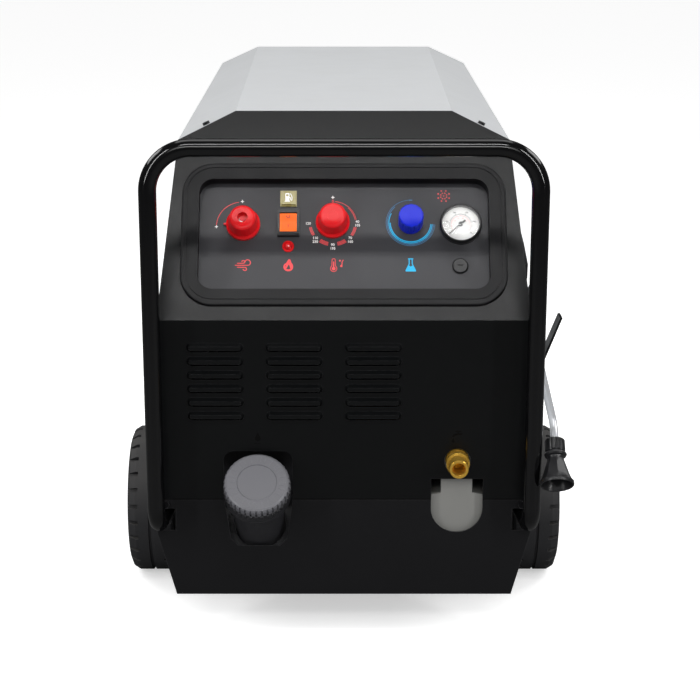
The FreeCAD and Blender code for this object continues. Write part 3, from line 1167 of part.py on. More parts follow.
outline(trigger_side, [("70", "-10"), ("70", "-24"), ("84", "-52"), ("101", "-100"), ("109", "-98"),
                       ("97", "-50"),
                       ("86", "-24"), ("86", "-10")])
circle(trigger_side, "78", "-17", "trigger_pin_r + axle_fit")
pad(gun_trigger, "lever", trigger_side, "2 * trigger_half", both=True)
place(gun_trigger, "lance_x", tail_y, tail_z, X_AXIS, "lance_rise")


def lance_hook(label, y):
    """Bent strip on the side panel that cradles the lance pipe."""
    part = new_body(label)
    floor = ("lance_bend_z + (%s - hook_wide / 2 - lance_bend_y) * tan(lance_rise)"
             " - lance_r / cos(lance_rise) - 0.3" % y)
    cradle_out = "lance_x + lance_r + 4 - (%s)" % side_half(y)
    section = new_sketch(part, "strip_section", "XZ_Plane")
    outline(section, [
        ("0", floor + " - 34"), ("hook_wall", floor + " - 34"), ("hook_wall", floor + " - hook_wall"),
        (cradle_out + " + 1", floor + " - hook_wall"), (cradle_out + " + 30", floor + " + 72"),
        (cradle_out + " + 26", floor + " + 72"), (cradle_out + " - 2", floor), ("0", floor)])
    pad(part, "strip", section, "hook_wide", both=True)
    place(part, side_half(y), y, "0", Z_AXIS, "atan(plan_taper)")
    return part


lance_hook("front_lance_hook", "front_hook_y")
lance_hook("rear_lance_hook", "rear_hook_y")

# Every object has to be whole before any file is written.
doc.recompute()
for item in doc.Objects:
    if "Invalid" in item.State or "Error" in item.State:
        raise ValueError("failed: " + item.Label)
os.makedirs("parts", exist_ok=True)
inner = {link_item.Name for item in doc.Objects for link_item in item.OutList
         if item.TypeId in ("Part::Compound", "Part::Cut")}
for item in doc.Objects:
    if item.Name in inner or item.TypeId not in (
            "PartDesign::Body", "Part::Feature", "Part::Compound", "Part::Cylinder"):
        continue
    if item.getParentGeoFeatureGroup() is not None:
        continue
    if item.Shape.isNull() or not item.Shape.isValid():
        raise ValueError("no sound shape: " + item.Label)
    item.Shape.exportStep("parts/" + item.Label + ".step")
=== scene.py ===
"""Looks of a hot-water pressure washer in a folded sheet cabinet.

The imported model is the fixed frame. Each sub-assembly class dresses its own
nodes and adds the pieces that the solids leave out.
"""

import logging
import math
from dataclasses import dataclass
from enum import Enum

import bmesh
import bpy
from mathutils import Matrix, Vector


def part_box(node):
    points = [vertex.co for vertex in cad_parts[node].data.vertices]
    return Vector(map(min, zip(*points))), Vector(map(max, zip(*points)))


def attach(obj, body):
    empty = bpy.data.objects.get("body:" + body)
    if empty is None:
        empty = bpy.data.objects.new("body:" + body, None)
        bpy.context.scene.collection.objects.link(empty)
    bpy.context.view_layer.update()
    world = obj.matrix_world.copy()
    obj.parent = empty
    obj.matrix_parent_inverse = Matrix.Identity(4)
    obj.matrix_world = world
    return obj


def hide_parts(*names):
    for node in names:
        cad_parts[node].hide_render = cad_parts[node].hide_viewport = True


log = logging.getLogger("pressure_washer")
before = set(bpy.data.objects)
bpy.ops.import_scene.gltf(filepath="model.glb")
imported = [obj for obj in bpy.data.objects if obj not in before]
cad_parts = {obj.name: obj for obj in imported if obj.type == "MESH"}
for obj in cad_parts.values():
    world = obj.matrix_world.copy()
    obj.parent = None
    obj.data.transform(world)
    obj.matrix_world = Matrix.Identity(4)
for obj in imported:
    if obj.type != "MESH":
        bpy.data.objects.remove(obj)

MM = 0.001
SHARP_FROM = 32.0
COAT_ROUGH = 0.12
SMUDGE_SCALE = 22.0
FINE_SHARE = 0.35
WEAR_REACH = 1.2 * MM
WEAR_GAIN = 9.0
WEAR_SCALE = 130.0
DUST_SCALE = 14.0
DUST_COLOUR = (150, 146, 138)


# Finishes


class Grain(Enum):
    """Relief of a surface: coarse cells per metre, fine cells per metre, depth in metres."""

    PLAIN = (60.0, 300.0, 0.00001)
    POWDER = (420.0, 1500.0, 0.00008)
    MOULDED = (700.0, 2600.0, 0.00004)
    CAST = (160.0, 900.0, 0.0002)
    DRAWN = (90.0, 1400.0, 0.00003)
    RUBBER = (260.0, 1800.0, 0.00012)


def linear(level: float) -> float:
    """Turn one display level of 0 to 255 into linear light of 0 to 1."""
    share = level / 255
    return share / 12.92 if share <= 0.04045 else ((share + 0.055) / 1.055) ** 2.4


def shade(rgb: tuple[int, int, int]) -> tuple[float, float, float, float]:
    """Turn a display colour of 0 to 255 into a linear one with full alpha."""
    return (linear(rgb[0]), linear(rgb[1]), linear(rgb[2]), 1.0)


@dataclass
class NodeGroup:
    """Builder of one shared shader group.

    Args:
        name: the group's name.
        inputs: socket names with their types.
        outputs: socket names with their types.
    """

    name: str
    inputs: dict[str, str]
    outputs: dict[str, str]
    tree: bpy.types.NodeTree | None = None

    def open(self) -> tuple[bpy.types.Node, bpy.types.Node]:
        """Make the group with its sockets.

        Returns:
            The group's input node and output node.
        """
        self.tree = bpy.data.node_groups.new(self.name, "ShaderNodeTree")
        for title, kind in self.inputs.items():
            self.tree.interface.new_socket(title, in_out="INPUT", socket_type=kind)
        for title, kind in self.outputs.items():
            self.tree.interface.new_socket(title, in_out="OUTPUT", socket_type=kind)
        return self.node("NodeGroupInput"), self.node("NodeGroupOutput")

    def node(self, kind: str, **values: object) -> bpy.types.Node:
        """Add a node and set its properties.

        Args:
            kind: the node's type.
            values: properties by name.

        Returns:
            The new node.
        """
        made = self.tree.nodes.new(kind)
        for key, value in values.items():
            setattr(made, key, value)
        return made

    def link(self, source: bpy.types.NodeSocket, target: bpy.types.NodeSocket) -> None:
        """Join two sockets."""
        self.tree.links.new(source, target)

    def feed(self, source: bpy.types.NodeSocket | float, target: bpy.types.NodeSocket) -> None:
        """Link a socket to another one, or set the other one to a number."""
        if isinstance(source, (int, float)):
            target.default_value = source
        else:
            self.link(source, target)

    def noise(self, scale: bpy.types.NodeSocket | float, detail: float) -> bpy.types.NodeSocket:
        """Add a noise texture on object coordinates.

        Args:
            scale: socket or number that gives the noise its scale.
            detail: octaves of the noise.

        Returns:
            The noise's value socket.
        """
        place = self.node("ShaderNodeTexCoord")
        cloud = self.node("ShaderNodeTexNoise")
        cloud.inputs["Detail"].default_value = detail
        self.link(place.outputs["Object"], cloud.inputs["Vector"])
        self.feed(scale, cloud.inputs["Scale"])
        return cloud.outputs["Fac"]

    def math(
        self, operation: str, *parts: bpy.types.NodeSocket | float, clamp: bool = False
    ) -> bpy.types.NodeSocket:
        """Add a maths node.

        Args:
            operation: the node's operation.
            parts: sockets or numbers for its inputs.
            clamp: whether the result stays within 0 and 1.

        Returns:
            The result's socket.
        """
        made = self.node("ShaderNodeMath", operation=operation, use_clamp=clamp)
        for socket, part in zip(made.inputs, parts):
            self.feed(part, socket)
        return made.outputs[0]

    def sway(self, given: bpy.types.Node, base: bpy.types.NodeSocket | float, detail: float,
             clamp: bool) -> bpy.types.NodeSocket:
        """Let a value wander round its base by the group's spread.

        Args:
            given: the group's input node.
            base: socket or number to wander round.
            detail: octaves of the noise.
            clamp: whether the result stays within 0 and 1.

        Returns:
            The result's socket.
        """
        centred = self.math("SUBTRACT", self.noise(given.outputs["Scale"], detail), 0.5)
        wide = self.math("MULTIPLY", centred, given.outputs["Spread"])
        return self.math("ADD", wide, base, clamp=clamp)

    def cover(self, given: bpy.types.Node, made: bpy.types.Node, where: bpy.types.NodeSocket,
              over: str) -> None:
        """Lay a second colour over the given one and give the result out.

        Args:
            given: the group's input node.
            made: the group's output node.
            where: socket that says where the second colour lies.
            over: name of the second colour's input.
        """
        mix = self.node("ShaderNodeMix", data_type="RGBA")
        self.link(self.math("MULTIPLY", where, given.outputs["Amount"], clamp=True), mix.inputs[0])
        self.link(given.outputs["Colour"], mix.inputs[6])
        self.link(given.outputs[over], mix.inputs[7])
        self.link(mix.outputs[2], made.inputs["Colour"])


FLOAT, COLOUR = "NodeSocketFloat", "NodeSocketColor"


def drift_group() -> bpy.types.NodeTree:
    """Make the group that lets a colour wander a little in brightness.

    Returns:
        The group's node tree.
    """
    group = NodeGroup("colour_drift", {"Colour": COLOUR, "Scale": FLOAT, "Spread": FLOAT}, {"Colour": COLOUR})
    given, made = group.open()
    level = group.sway(given, 1.0, 4.0, clamp=False)
    tone = group.node("ShaderNodeHueSaturation")
    group.link(level, tone.inputs["Value"])
    group.link(given.outputs["Colour"], tone.inputs["Color"])
    group.link(tone.outputs["Color"], made.inputs["Colour"])
    return group.tree


def grain_group() -> bpy.types.NodeTree:
    """Make the group that gives a surface its fine relief.

    Returns:
        The group's node tree.
    """
    group = NodeGroup("surface_grain", {"Coarse": FLOAT, "Fine": FLOAT}, {"Height": FLOAT})
    given, made = group.open()
    broad = group.noise(given.outputs["Coarse"], 2.0)
    close = group.noise(given.outputs["Fine"], 1.0)
    eased = group.math("MULTIPLY", close, FINE_SHARE)
    height = group.math("ADD", broad, eased)
    group.link(height, made.inputs["Height"])
    return group.tree


def edge_group() -> bpy.types.NodeTree:
    """Make the group that bares a coating along worn edges.

    Returns:
        The group's node tree.
    """
    group = NodeGroup(
        "edge_wear",
        {"Colour": COLOUR, "Bare": COLOUR, "Reach": FLOAT, "Amount": FLOAT},
        {"Colour": COLOUR},
    )
    given, made = group.open()
    soft = group.node("ShaderNodeBevel", samples=4)
    group.link(given.outputs["Reach"], soft.inputs["Radius"])
    true = group.node("ShaderNodeNewGeometry")
    dot = group.node("ShaderNodeVectorMath", operation="DOT_PRODUCT")
    group.link(soft.outputs["Normal"], dot.inputs[0])
    group.link(true.outputs["Normal"], dot.inputs[1])
    edge = group.math("SUBTRACT", 1.0, dot.outputs["Value"])
    sharp = group.math("MULTIPLY", edge, WEAR_GAIN)
    patchy = group.math("SUBTRACT", group.math("MULTIPLY", group.noise(WEAR_SCALE, 5.0), 3.0), 1.0)
    group.cover(given, made, group.math("MULTIPLY", sharp, patchy, clamp=True), "Bare")
    return group.tree


def dust_group() -> bpy.types.NodeTree:
    """Make the group that lays pale dust on faces that look up.

    Returns:
        The group's node tree.
    """
    group = NodeGroup("settled_dust", {"Colour": COLOUR, "Dust": COLOUR, "Amount": FLOAT}, {"Colour": COLOUR})
    given, made = group.open()
    true = group.node("ShaderNodeNewGeometry")
    axes = group.node("ShaderNodeSeparateXYZ")
    group.link(true.outputs["Normal"], axes.inputs[0])
    up = group.math("MULTIPLY", axes.outputs["Z"], group.noise(DUST_SCALE, 6.0), clamp=True)
    group.cover(given, made, up, "Dust")
    return group.tree


def smudge_group() -> bpy.types.NodeTree:
    """Make the group that lets gloss vary as on a handled surface.

    Returns:
        The group's node tree.
    """
    group = NodeGroup("gloss_smudge", {"Rough": FLOAT, "Spread": FLOAT, "Scale": FLOAT}, {"Rough": FLOAT})
    given, made = group.open()
    group.link(group.sway(given, given.outputs["Rough"], 5.0, clamp=True), made.inputs["Rough"])
    return group.tree


class Effect(Enum):
    """The shared shader groups with their makers, each built once."""

    DRIFT = ("colour_drift", drift_group)
    GRAIN = ("surface_grain", grain_group)
    EDGE = ("edge_wear", edge_group)
    DUST = ("settled_dust", dust_group)
    SMUDGE = ("gloss_smudge", smudge_group)


@dataclass(frozen=True)
class Finish:
    """One surface finish.

    Args:
        colour: display colour, 0 to 255.
        rough: roughness of the surface.
        metal: 1 for bare metal.
        specular: strength of the reflection at right angles.
        coat: clear coat over the colour.
        grain: the relief of the surface.
        drift: spread of the brightness.
        drift_scale: cells of the brightness per metre.
        smudge: spread of the roughness.
        wear: how much of the edges is bare.
        bare: colour under the coating.
        dust: how much dust lies on top.
        glow: strength of the finish's own light.
        alpha: how much of the surface is there.
    """

    colour: tuple[int, int, int]
    rough: float
    metal: float = 0.0
    specular: float = 0.5
    coat: float = 0.0
    grain: Grain = Grain.PLAIN
    drift: float = 0.12
    drift_scale: float = 9.0
    smudge: float = 0.12
    wear: float = 0.0
    bare: tuple[int, int, int] = (150, 150, 150)
    dust: float = 0.0
    glow: float = 0.0
    alpha: float = 1.0

    def material(self, name: str) -> bpy.types.Material:
        """Build the material, or return it if it is there.

        Args:
            name: the material's name.

        Returns:
            The material.
        """
        if name in bpy.data.materials:
            return bpy.data.materials[name]
        made = bpy.data.materials.new(name)
        made.use_nodes = True
        tree = made.node_tree
        shader = tree.nodes["Principled BSDF"]
        for title, value in (
            ("Metallic", self.metal),
            ("Specular IOR Level", self.specular),
            ("Coat Weight", self.coat),
            ("Coat Roughness", COAT_ROUGH),
            ("Emission Color", shade(self.colour)),
            ("Emission Strength", self.glow),
            ("Alpha", self.alpha),
        ):
            shader.inputs[title].default_value = value
        colour = self._colour(tree)
        tree.links.new(colour, shader.inputs["Base Color"])
        rough = self._place(tree, Effect.SMUDGE, Rough=self.rough, Spread=self.smudge, Scale=SMUDGE_SCALE)
        tree.links.new(rough.outputs["Rough"], shader.inputs["Roughness"])
        coarse, fine, depth = self.grain.value
        relief = self._place(tree, Effect.GRAIN, Coarse=coarse, Fine=fine)
        bump = tree.nodes.new("ShaderNodeBump")
        bump.inputs["Distance"].default_value = depth
        tree.links.new(relief.outputs["Height"], bump.inputs["Height"])
        tree.links.new(bump.outputs["Normal"], shader.inputs["Normal"])
        return made

    def _colour(self, tree: bpy.types.NodeTree) -> bpy.types.NodeSocket:
        """Chain the groups that give the colour.

        Args:
            tree: the material's node tree.

        Returns:
            The socket with the colour.
        """
        drift = self._place(tree, Effect.DRIFT, Colour=shade(self.colour), Scale=self.drift_scale,
                            Spread=self.drift)
        colour = drift.outputs["Colour"]
        for effect, amount, values in (
            (Effect.EDGE, self.wear, {"Bare": shade(self.bare), "Reach": WEAR_REACH}),
            (Effect.DUST, self.dust, {"Dust": shade(DUST_COLOUR)}),
        ):
            if amount:
                layer = self._place(tree, effect, Amount=amount, **values)
                tree.links.new(colour, layer.inputs["Colour"])
                colour = layer.outputs["Colour"]
        return colour

    @staticmethod
    def _place(tree: bpy.types.NodeTree, effect: Effect, **values: object) -> bpy.types.Node:
        """Put a shared group into a material.

        Args:
            tree: the material's node tree.
            effect: the group to place.
            values: its input values by name.

        Returns:
            The group node.
        """
        name, make = effect.value
        made = tree.nodes.new("ShaderNodeGroup")
        made.node_tree = bpy.data.node_groups[name] if name in bpy.data.node_groups else make()
        for key, value in values.items():
            made.inputs[key].default_value = value
        return made


class Look(Enum):
    """Every finish on the object."""

    SILVER_SHEET = Finish((196, 198, 200), 0.42, grain=Grain.POWDER, drift=0.05, wear=0.5,
                          bare=(120, 121, 123), dust=0.12)
    BLACK_SHEET = Finish((7, 8, 9), 0.32, specular=0.3, grain=Grain.POWDER, drift=0.2, wear=0.2,
                         bare=(92, 92, 94))
    SKIRT_SHEET = Finish((17, 17, 19), 0.45, specular=0.25, grain=Grain.POWDER, drift=0.2, wear=0.25,
                         bare=(110, 110, 112))
    BEZEL = Finish((14, 14, 16), 0.42, specular=0.25, grain=Grain.MOULDED, wear=0.2, bare=(60, 60, 62))
    PANEL = Finish((46, 46, 50), 0.46, grain=Grain.POWDER, drift=0.1, drift_scale=5.0)
    TUBE_BLACK = Finish((7, 7, 8), 0.12, smudge=0.1, wear=0.25, bare=(80, 80, 82))
    KNOB_RED = Finish((214, 16, 24), 0.3, specular=0.3, grain=Grain.MOULDED, drift=0.08, wear=0.3,
                      bare=(236, 66, 66))
    KNOB_BLUE = Finish((14, 34, 196), 0.32, specular=0.25, grain=Grain.MOULDED, drift=0.08, wear=0.25,
                       bare=(50, 84, 232))
    ROCKER_ORANGE = Finish((255, 96, 8), 0.36, specular=0.25, glow=0.12, wear=0.6, bare=(255, 176, 40))
    LAMP_OLIVE = Finish((150, 140, 82), 0.28, coat=0.3, wear=0.6, bare=(176, 160, 92))
    LAMP_RED = Finish((205, 14, 20), 0.12, specular=0.6, coat=0.6, glow=0.05)
    BLACK_PLASTIC = Finish((22, 22, 24), 0.36, grain=Grain.MOULDED, wear=0.25, bare=(62, 62, 64))
    DIAL_WHITE = Finish((240, 240, 238), 0.5, drift=0.02)
    CLEAR_LENS = Finish((255, 255, 255), 0.04, drift=0.0, smudge=0.01, alpha=0.07)
    CAP_GREY = Finish((96, 96, 101), 0.4, grain=Grain.MOULDED, drift=0.1, wear=0.4, bare=(138, 138, 142),
                      dust=0.08)
    CAP_DARK = Finish((36, 36, 39), 0.42, grain=Grain.MOULDED, wear=0.5, bare=(92, 92, 96))
    GUARD_BLACK = Finish((24, 24, 26), 0.34, grain=Grain.MOULDED, wear=0.3, bare=(70, 70, 72))
    TANK_BLACK = Finish((44, 44, 47), 0.45, grain=Grain.MOULDED, wear=0.2, bare=(60, 60, 60))
    TANK_GREY = Finish((124, 124, 121), 0.4, grain=Grain.MOULDED, drift=0.08)
    SEAL = Finish((14, 14, 15), 0.7, grain=Grain.RUBBER)
    BRASS = Finish((236, 186, 74), 0.2, metal=0.75, grain=Grain.DRAWN, drift=0.14, wear=0.4,
                   bare=(240, 214, 150))
    CHROME = Finish((226, 228, 232), 0.2, metal=0.55, grain=Grain.DRAWN, drift=0.04)
    TYRE = Finish((42, 42, 44), 0.68, specular=0.35, grain=Grain.RUBBER, drift=0.2, wear=0.3,
                  bare=(78, 78, 80), dust=0.2)
    HUB = Finish((30, 30, 32), 0.42, grain=Grain.MOULDED, wear=0.4, bare=(84, 84, 86), dust=0.1)
    ZINC = Finish((172, 174, 178), 0.34, metal=0.9, grain=Grain.CAST, drift=0.16, wear=0.3,
                  bare=(210, 210, 212))
    CASTER_TREAD = Finish((72, 74, 76), 0.55, grain=Grain.MOULDED, drift=0.14, dust=0.15)
    BOILER = Finish((158, 160, 162), 0.36, metal=0.9, grain=Grain.DRAWN, drift=0.14, drift_scale=5.0)
    MOTOR_PAINT = Finish((44, 76, 116), 0.4, grain=Grain.CAST, drift=0.12, wear=0.5, bare=(130, 132, 134))
    STEEL = Finish((150, 152, 156), 0.28, metal=1.0, grain=Grain.DRAWN, drift=0.1)
    PUMP_BRASS = Finish((180, 150, 96), 0.34, metal=1.0, grain=Grain.CAST, drift=0.16)
    SCREW = Finish((26, 26, 28), 0.3, metal=0.6, wear=0.6, bare=(120, 120, 122))
    # Black of the printed marks, also used for the painted shade along the front plate's seam with the skirt.
    MARK_BLACK = Finish((3, 3, 3), 0.6, specular=0.15, drift=0.1)
    INK_RED = Finish((232, 72, 76), 0.5, drift=0.06, drift_scale=60.0)
    INK_CYAN = Finish((12, 176, 226), 0.5, drift=0.06, drift_scale=60.0)
    INK_STEEL_BLUE = Finish((64, 122, 164), 0.5, drift=0.06, drift_scale=60.0)
    INK_WHITE = Finish((238, 238, 236), 0.5, drift=0.04, drift_scale=60.0)
    INK_BLACK = Finish((20, 20, 20), 0.5, drift=0.1, drift_scale=60.0)
    INK_DARK_RED = Finish((120, 24, 12), 0.4, drift=0.1, drift_scale=60.0)

    def material(self) -> bpy.types.Material:
        """Return this finish's material."""
        return self.value.material(f"finish_{self.name.lower()}")


# Places


@dataclass(frozen=True)
class Sheet:
    """A flat sheet face to place pieces on, in metres.

    Args:
        origin: a point of the face on the middle line.
        lean: how far the face leans back from vertical, in degrees.
    """

    origin: tuple[float, float, float]
    lean: float

    def axes(self) -> tuple[Vector, Vector, Vector]:
        """Return the face's right, up and outward directions."""
        turn = math.radians(self.lean)
        right = Vector((1.0, 0.0, 0.0))
        up = Vector((0.0, math.sin(turn), math.cos(turn)))
        out = Vector((0.0, -math.cos(turn), math.sin(turn)))
        return right, up, out

    def at(self, across: float, up: float, out: float) -> Matrix:
        """Place something on the face.

        Args:
            across: distance to the right, in metres.
            up: distance up the face, in metres.
            out: distance in front of the face, in metres.

        Returns:
            The matrix that takes a piece there.
        """
        right, rise, normal = self.axes()
        spot = Vector(self.origin) + right * across + rise * up + normal * out
        return Matrix.Translation(spot) @ Matrix((right, rise, normal)).transposed().to_4x4()

    def find(self, node: str) -> tuple[float, float]:
        """Find the middle of a node on the face.

        Args:
            node: the node's name.

        Returns:
            Its distance across and up the face, in metres.
        """
        low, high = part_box(node)
        offset = (low + high) / 2 - Vector(self.origin)
        return offset.x, offset.dot(self.axes()[1])

    def reach(self, node: str) -> float:
        """Find how far a node stands out of the face.

        Args:
            node: the node's name.

        Returns:
            The height of its highest point along the face's normal.
        """
        normal = self.axes()[2]
        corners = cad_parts[node].data.vertices
        return max((corner.co - Vector(self.origin)).dot(normal) for corner in corners)


FASCIA = Sheet((0.0, -0.5005, 0.553), 33.6)
FRONT = Sheet((0.0, -0.5005, 0.0), 0.0)
PANEL_DEPTH = -16 * MM
INK_TALL = 0.25 * MM


# Mesh tools


def mesh_from(shape: bmesh.types.BMesh, name: str) -> bpy.types.Mesh:
    """Turn a bmesh into a smooth-shaded mesh with sharp edges kept.

    Args:
        shape: the bmesh, which is freed.
        name: the mesh's name.

    Returns:
        The mesh.
    """
    bmesh.ops.remove_doubles(shape, verts=shape.verts, dist=0.000002)
    bmesh.ops.recalc_face_normals(shape, faces=shape.faces)
    for face in shape.faces:
        face.smooth = True
    made = bpy.data.meshes.new(name)
    shape.to_mesh(made)
    shape.free()
    made.set_sharp_from_angle(angle=math.radians(SHARP_FROM))
    return made


def piece(name: str, shape: bmesh.types.BMesh, place: Matrix, look: Look, body: str) -> bpy.types.Object:
    """Put a shape in the scene as a piece that rides on a body.

    Args:
        name: the piece's name.
        shape: its shape, in its own frame, which is freed.
        place: where it goes.
        look: its finish.
        body: the body it rides on.

    Returns:
        The new object.
    """
    mesh = mesh_from(shape, name)
    mesh.transform(place)
    mesh.materials.append(look.material())
    made = bpy.data.objects.new(name, mesh)
    bpy.context.scene.collection.objects.link(made)
    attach(made, body)
    log.info("%s rides on %s", name, body)
    return made


def spun(shape: bmesh.types.BMesh, geometry: list, angle: float, steps: int) -> bmesh.types.BMesh:
    """Spin a section round the Z axis.

    Args:
        shape: the shape that holds the section.
        geometry: the section's parts.
        angle: angle of the turn, in degrees.
        steps: segments of the turn.

    Returns:
        The same shape.
    """
    bmesh.ops.spin(
        shape,
        geom=geometry,
        cent=(0, 0, 0),
        axis=(0, 0, 1),
        angle=math.radians(angle),
        steps=steps,
        use_merge=angle == 360,
        use_duplicate=False,
    )
    return shape


def lathe(profile: list[tuple[float, float]], steps: int = 48) -> bmesh.types.BMesh:
    """Turn a profile round the Z axis.

    Args:
        profile: radius and height pairs, in metres.
        steps: segments of the turn.

    Returns:
        The turned shape.
    """
    shape = bmesh.new()
    line = [shape.verts.new((radius, 0.0, height)) for radius, height in profile]
    edges = [shape.edges.new(pair) for pair in zip(line, line[1:])]
    return spun(shape, line + edges, 360, steps)


def prism(outline: list[tuple[float, float]], tall: float, lift: float = 0.0) -> bmesh.types.BMesh:
    """Raise a flat outline into a prism.

    Args:
        outline: corners in the plane, in metres.
        tall: height of the prism, in metres.
        lift: height of its base, in metres.

    Returns:
        The prism.
    """
    shape = bmesh.new()
    base = shape.faces.new([shape.verts.new((x, y, lift)) for x, y in outline])
    risen = bmesh.ops.extrude_face_region(shape, geom=[base], use_keep_orig=True)
    moved = [item for item in risen["geom"] if isinstance(item, bmesh.types.BMVert)]
    bmesh.ops.translate(shape, verts=moved, vec=(0, 0, tall))
    return shape


def block(wide: float, deep: float, tall: float, round_by: float = 0.0) -> bmesh.types.BMesh:
    """Make a block with soft edges round the origin.

    Args:
        wide: size along X, in metres.
        deep: size along Y, in metres.
        tall: size along Z, in metres.
        round_by: width of its edges' rounding, in metres.

    Returns:
        The block.
    """
    shape = bmesh.new()
    bmesh.ops.create_cube(shape, size=1.0)
    bmesh.ops.scale(shape, vec=(wide, deep, tall), verts=shape.verts)
    if round_by:
        bmesh.ops.bevel(shape, geom=list(shape.edges), offset=round_by, affect="EDGES", segments=2,
                        profile=0.5)
    return shape


def disc(radius: float, tall: float, steps: int = 24) -> bmesh.types.BMesh:
    """Make a low disc that stands on the plane, in metres."""
    return lathe([(0.0, 0.0), (radius, 0.0), (radius, tall * 0.7), (radius * 0.97, tall), (0.0, tall)], steps)


def band(inner: float, outer: float, start: float, end: float, tall: float = INK_TALL) -> bmesh.types.BMesh:
    """Make a flat arc band. Angles run clockwise from the top, in degrees.

    Args:
        inner: inner radius, in metres.
        outer: outer radius, in metres.
        start: angle where it starts.
        end: angle where it ends.
        tall: height of the band, in metres.

    Returns:
        The band.
    """
    steps = max(4, round(abs(end - start) / 4))
    shape = bmesh.new()
    corners = [(inner, 0.0), (outer, 0.0), (outer, tall), (inner, tall)]
    face = shape.faces.new([shape.verts.new((radius, 0.0, height)) for radius, height in corners])
    turned(shape, 90 - start)
    return spun(shape, [face] + list(face.edges) + list(face.verts), start - end, steps)


def joined(shapes: list[bmesh.types.BMesh]) -> bmesh.types.BMesh:
    """Join shapes into one.

    Args:
        shapes: the shapes, which are freed.

    Returns:
        One shape with all of them.
    """
    whole = bmesh.new()
    for shape in shapes:
        carrier = bpy.data.meshes.new("carrier")
        shape.to_mesh(carrier)
        shape.free()
        whole.from_mesh(carrier)
        bpy.data.meshes.remove(carrier)
    return whole


def moved(shape: bmesh.types.BMesh, x: float, y: float, z: float = 0.0) -> bmesh.types.BMesh:
    """Move a shape and return it."""
    bmesh.ops.translate(shape, verts=shape.verts, vec=(x, y, z))
    return shape


def turned(shape: bmesh.types.BMesh, angle: float) -> bmesh.types.BMesh:
    """Turn a shape round the Z axis by an angle in degrees, and return it."""
    bmesh.ops.rotate(shape, verts=shape.verts, cent=(0, 0, 0),
                     matrix=Matrix.Rotation(math.radians(angle), 3, "Z"))
    return shape


def shape_from(curve: bpy.types.Curve) -> bmesh.types.BMesh:
    """Turn a curve into a shape.

    Args:
        curve: the curve, which is removed.

    Returns:
        The shape.
    """
    carrier = bpy.data.objects.new("line", curve)
    mesh = bpy.data.meshes.new_from_object(carrier)
    shape = bmesh.new()
    shape.from_mesh(mesh)
    bpy.data.objects.remove(carrier)
    bpy.data.curves.remove(curve)
    bpy.data.meshes.remove(mesh)
    return shape


def tube(points: list[tuple[float, float, float]], radius: float, loop: bool = False,
         sides: int = 3) -> bmesh.types.BMesh:
    """Sweep a round section along a smooth line.

    Args:
        points: control points of the line, in metres.
        radius: radius of the section, in metres.
        loop: whether the line closes on itself.
        sides: resolution of the section.

    Returns:
        The swept shape.
    """
    curve = bpy.data.curves.new("line", "CURVE")
    curve.dimensions = "3D"
    curve.bevel_depth = radius
    curve.bevel_resolution = sides
    curve.use_fill_caps = not loop
    spline = curve.splines.new("NURBS")
    spline.points.add(len(points) - 1)
    for point, place in zip(spline.points, points):
        point.co = (*place, 1.0)
    spline.order_u = 3
    spline.resolution_u = 6
    spline.use_endpoint_u = not loop
    spline.use_cyclic_u = loop
    return shape_from(curve)


def stroke(points: list[tuple[float, float]], width: float, loop: bool = False) -> bmesh.types.BMesh:
    """Draw a flat printed line.

    Args:
        points: control points in the plane, in metres.
        width: width of the line, in metres.
        loop: whether the line closes on itself.

    Returns:
        The line as a low solid on the plane.
    """
    shape = tube([(x, y, 0.0) for x, y in points], width / 2, loop, 1)
    bmesh.ops.scale(shape, vec=(1, 1, 2 * INK_TALL / width), verts=shape.verts)
    return shape


def lettering(text: str, tall: float, depth: float = INK_TALL) -> bmesh.types.BMesh:
    """Set plain figures, centred on the origin.

    Args:
        text: the figures.
        tall: their size, in metres.
        depth: how far they stand up, in metres.

    Returns:
        The figures as a shape.
    """
    curve = bpy.data.curves.new("figures", "FONT")
    curve.body = text
    curve.size = tall
    curve.extrude = depth
    curve.offset = tall * 0.02
    curve.resolution_u = 2
    curve.align_x = "CENTER"
    curve.align_y = "CENTER"
    return shape_from(curve)


def mm(*points: tuple[float, ...]) -> list[tuple[float, ...]]:
    """Turn points in millimetres into points in metres."""
    return [tuple(value * MM for value in point) for point in points]


def polar(radius: float, angle: float) -> tuple[float, float]:
    """Find a point on a circle, its angle in degrees clockwise from the top."""
    return radius * math.sin(math.radians(angle)), radius * math.cos(math.radians(angle))


def dress(look: Look, *nodes: str) -> None:
    """Give CAD nodes a finish.

    Args:
        look: the finish.
        nodes: the nodes' names.
    """
    for name in nodes:
        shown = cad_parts[name]
        if not shown.material_slots:
            shown.data.materials.append(look.material())
        for holder in shown.material_slots:
            holder.material = look.material()
        log.info("%s dressed as %s", name, look.name.lower())


# Sub-assemblies


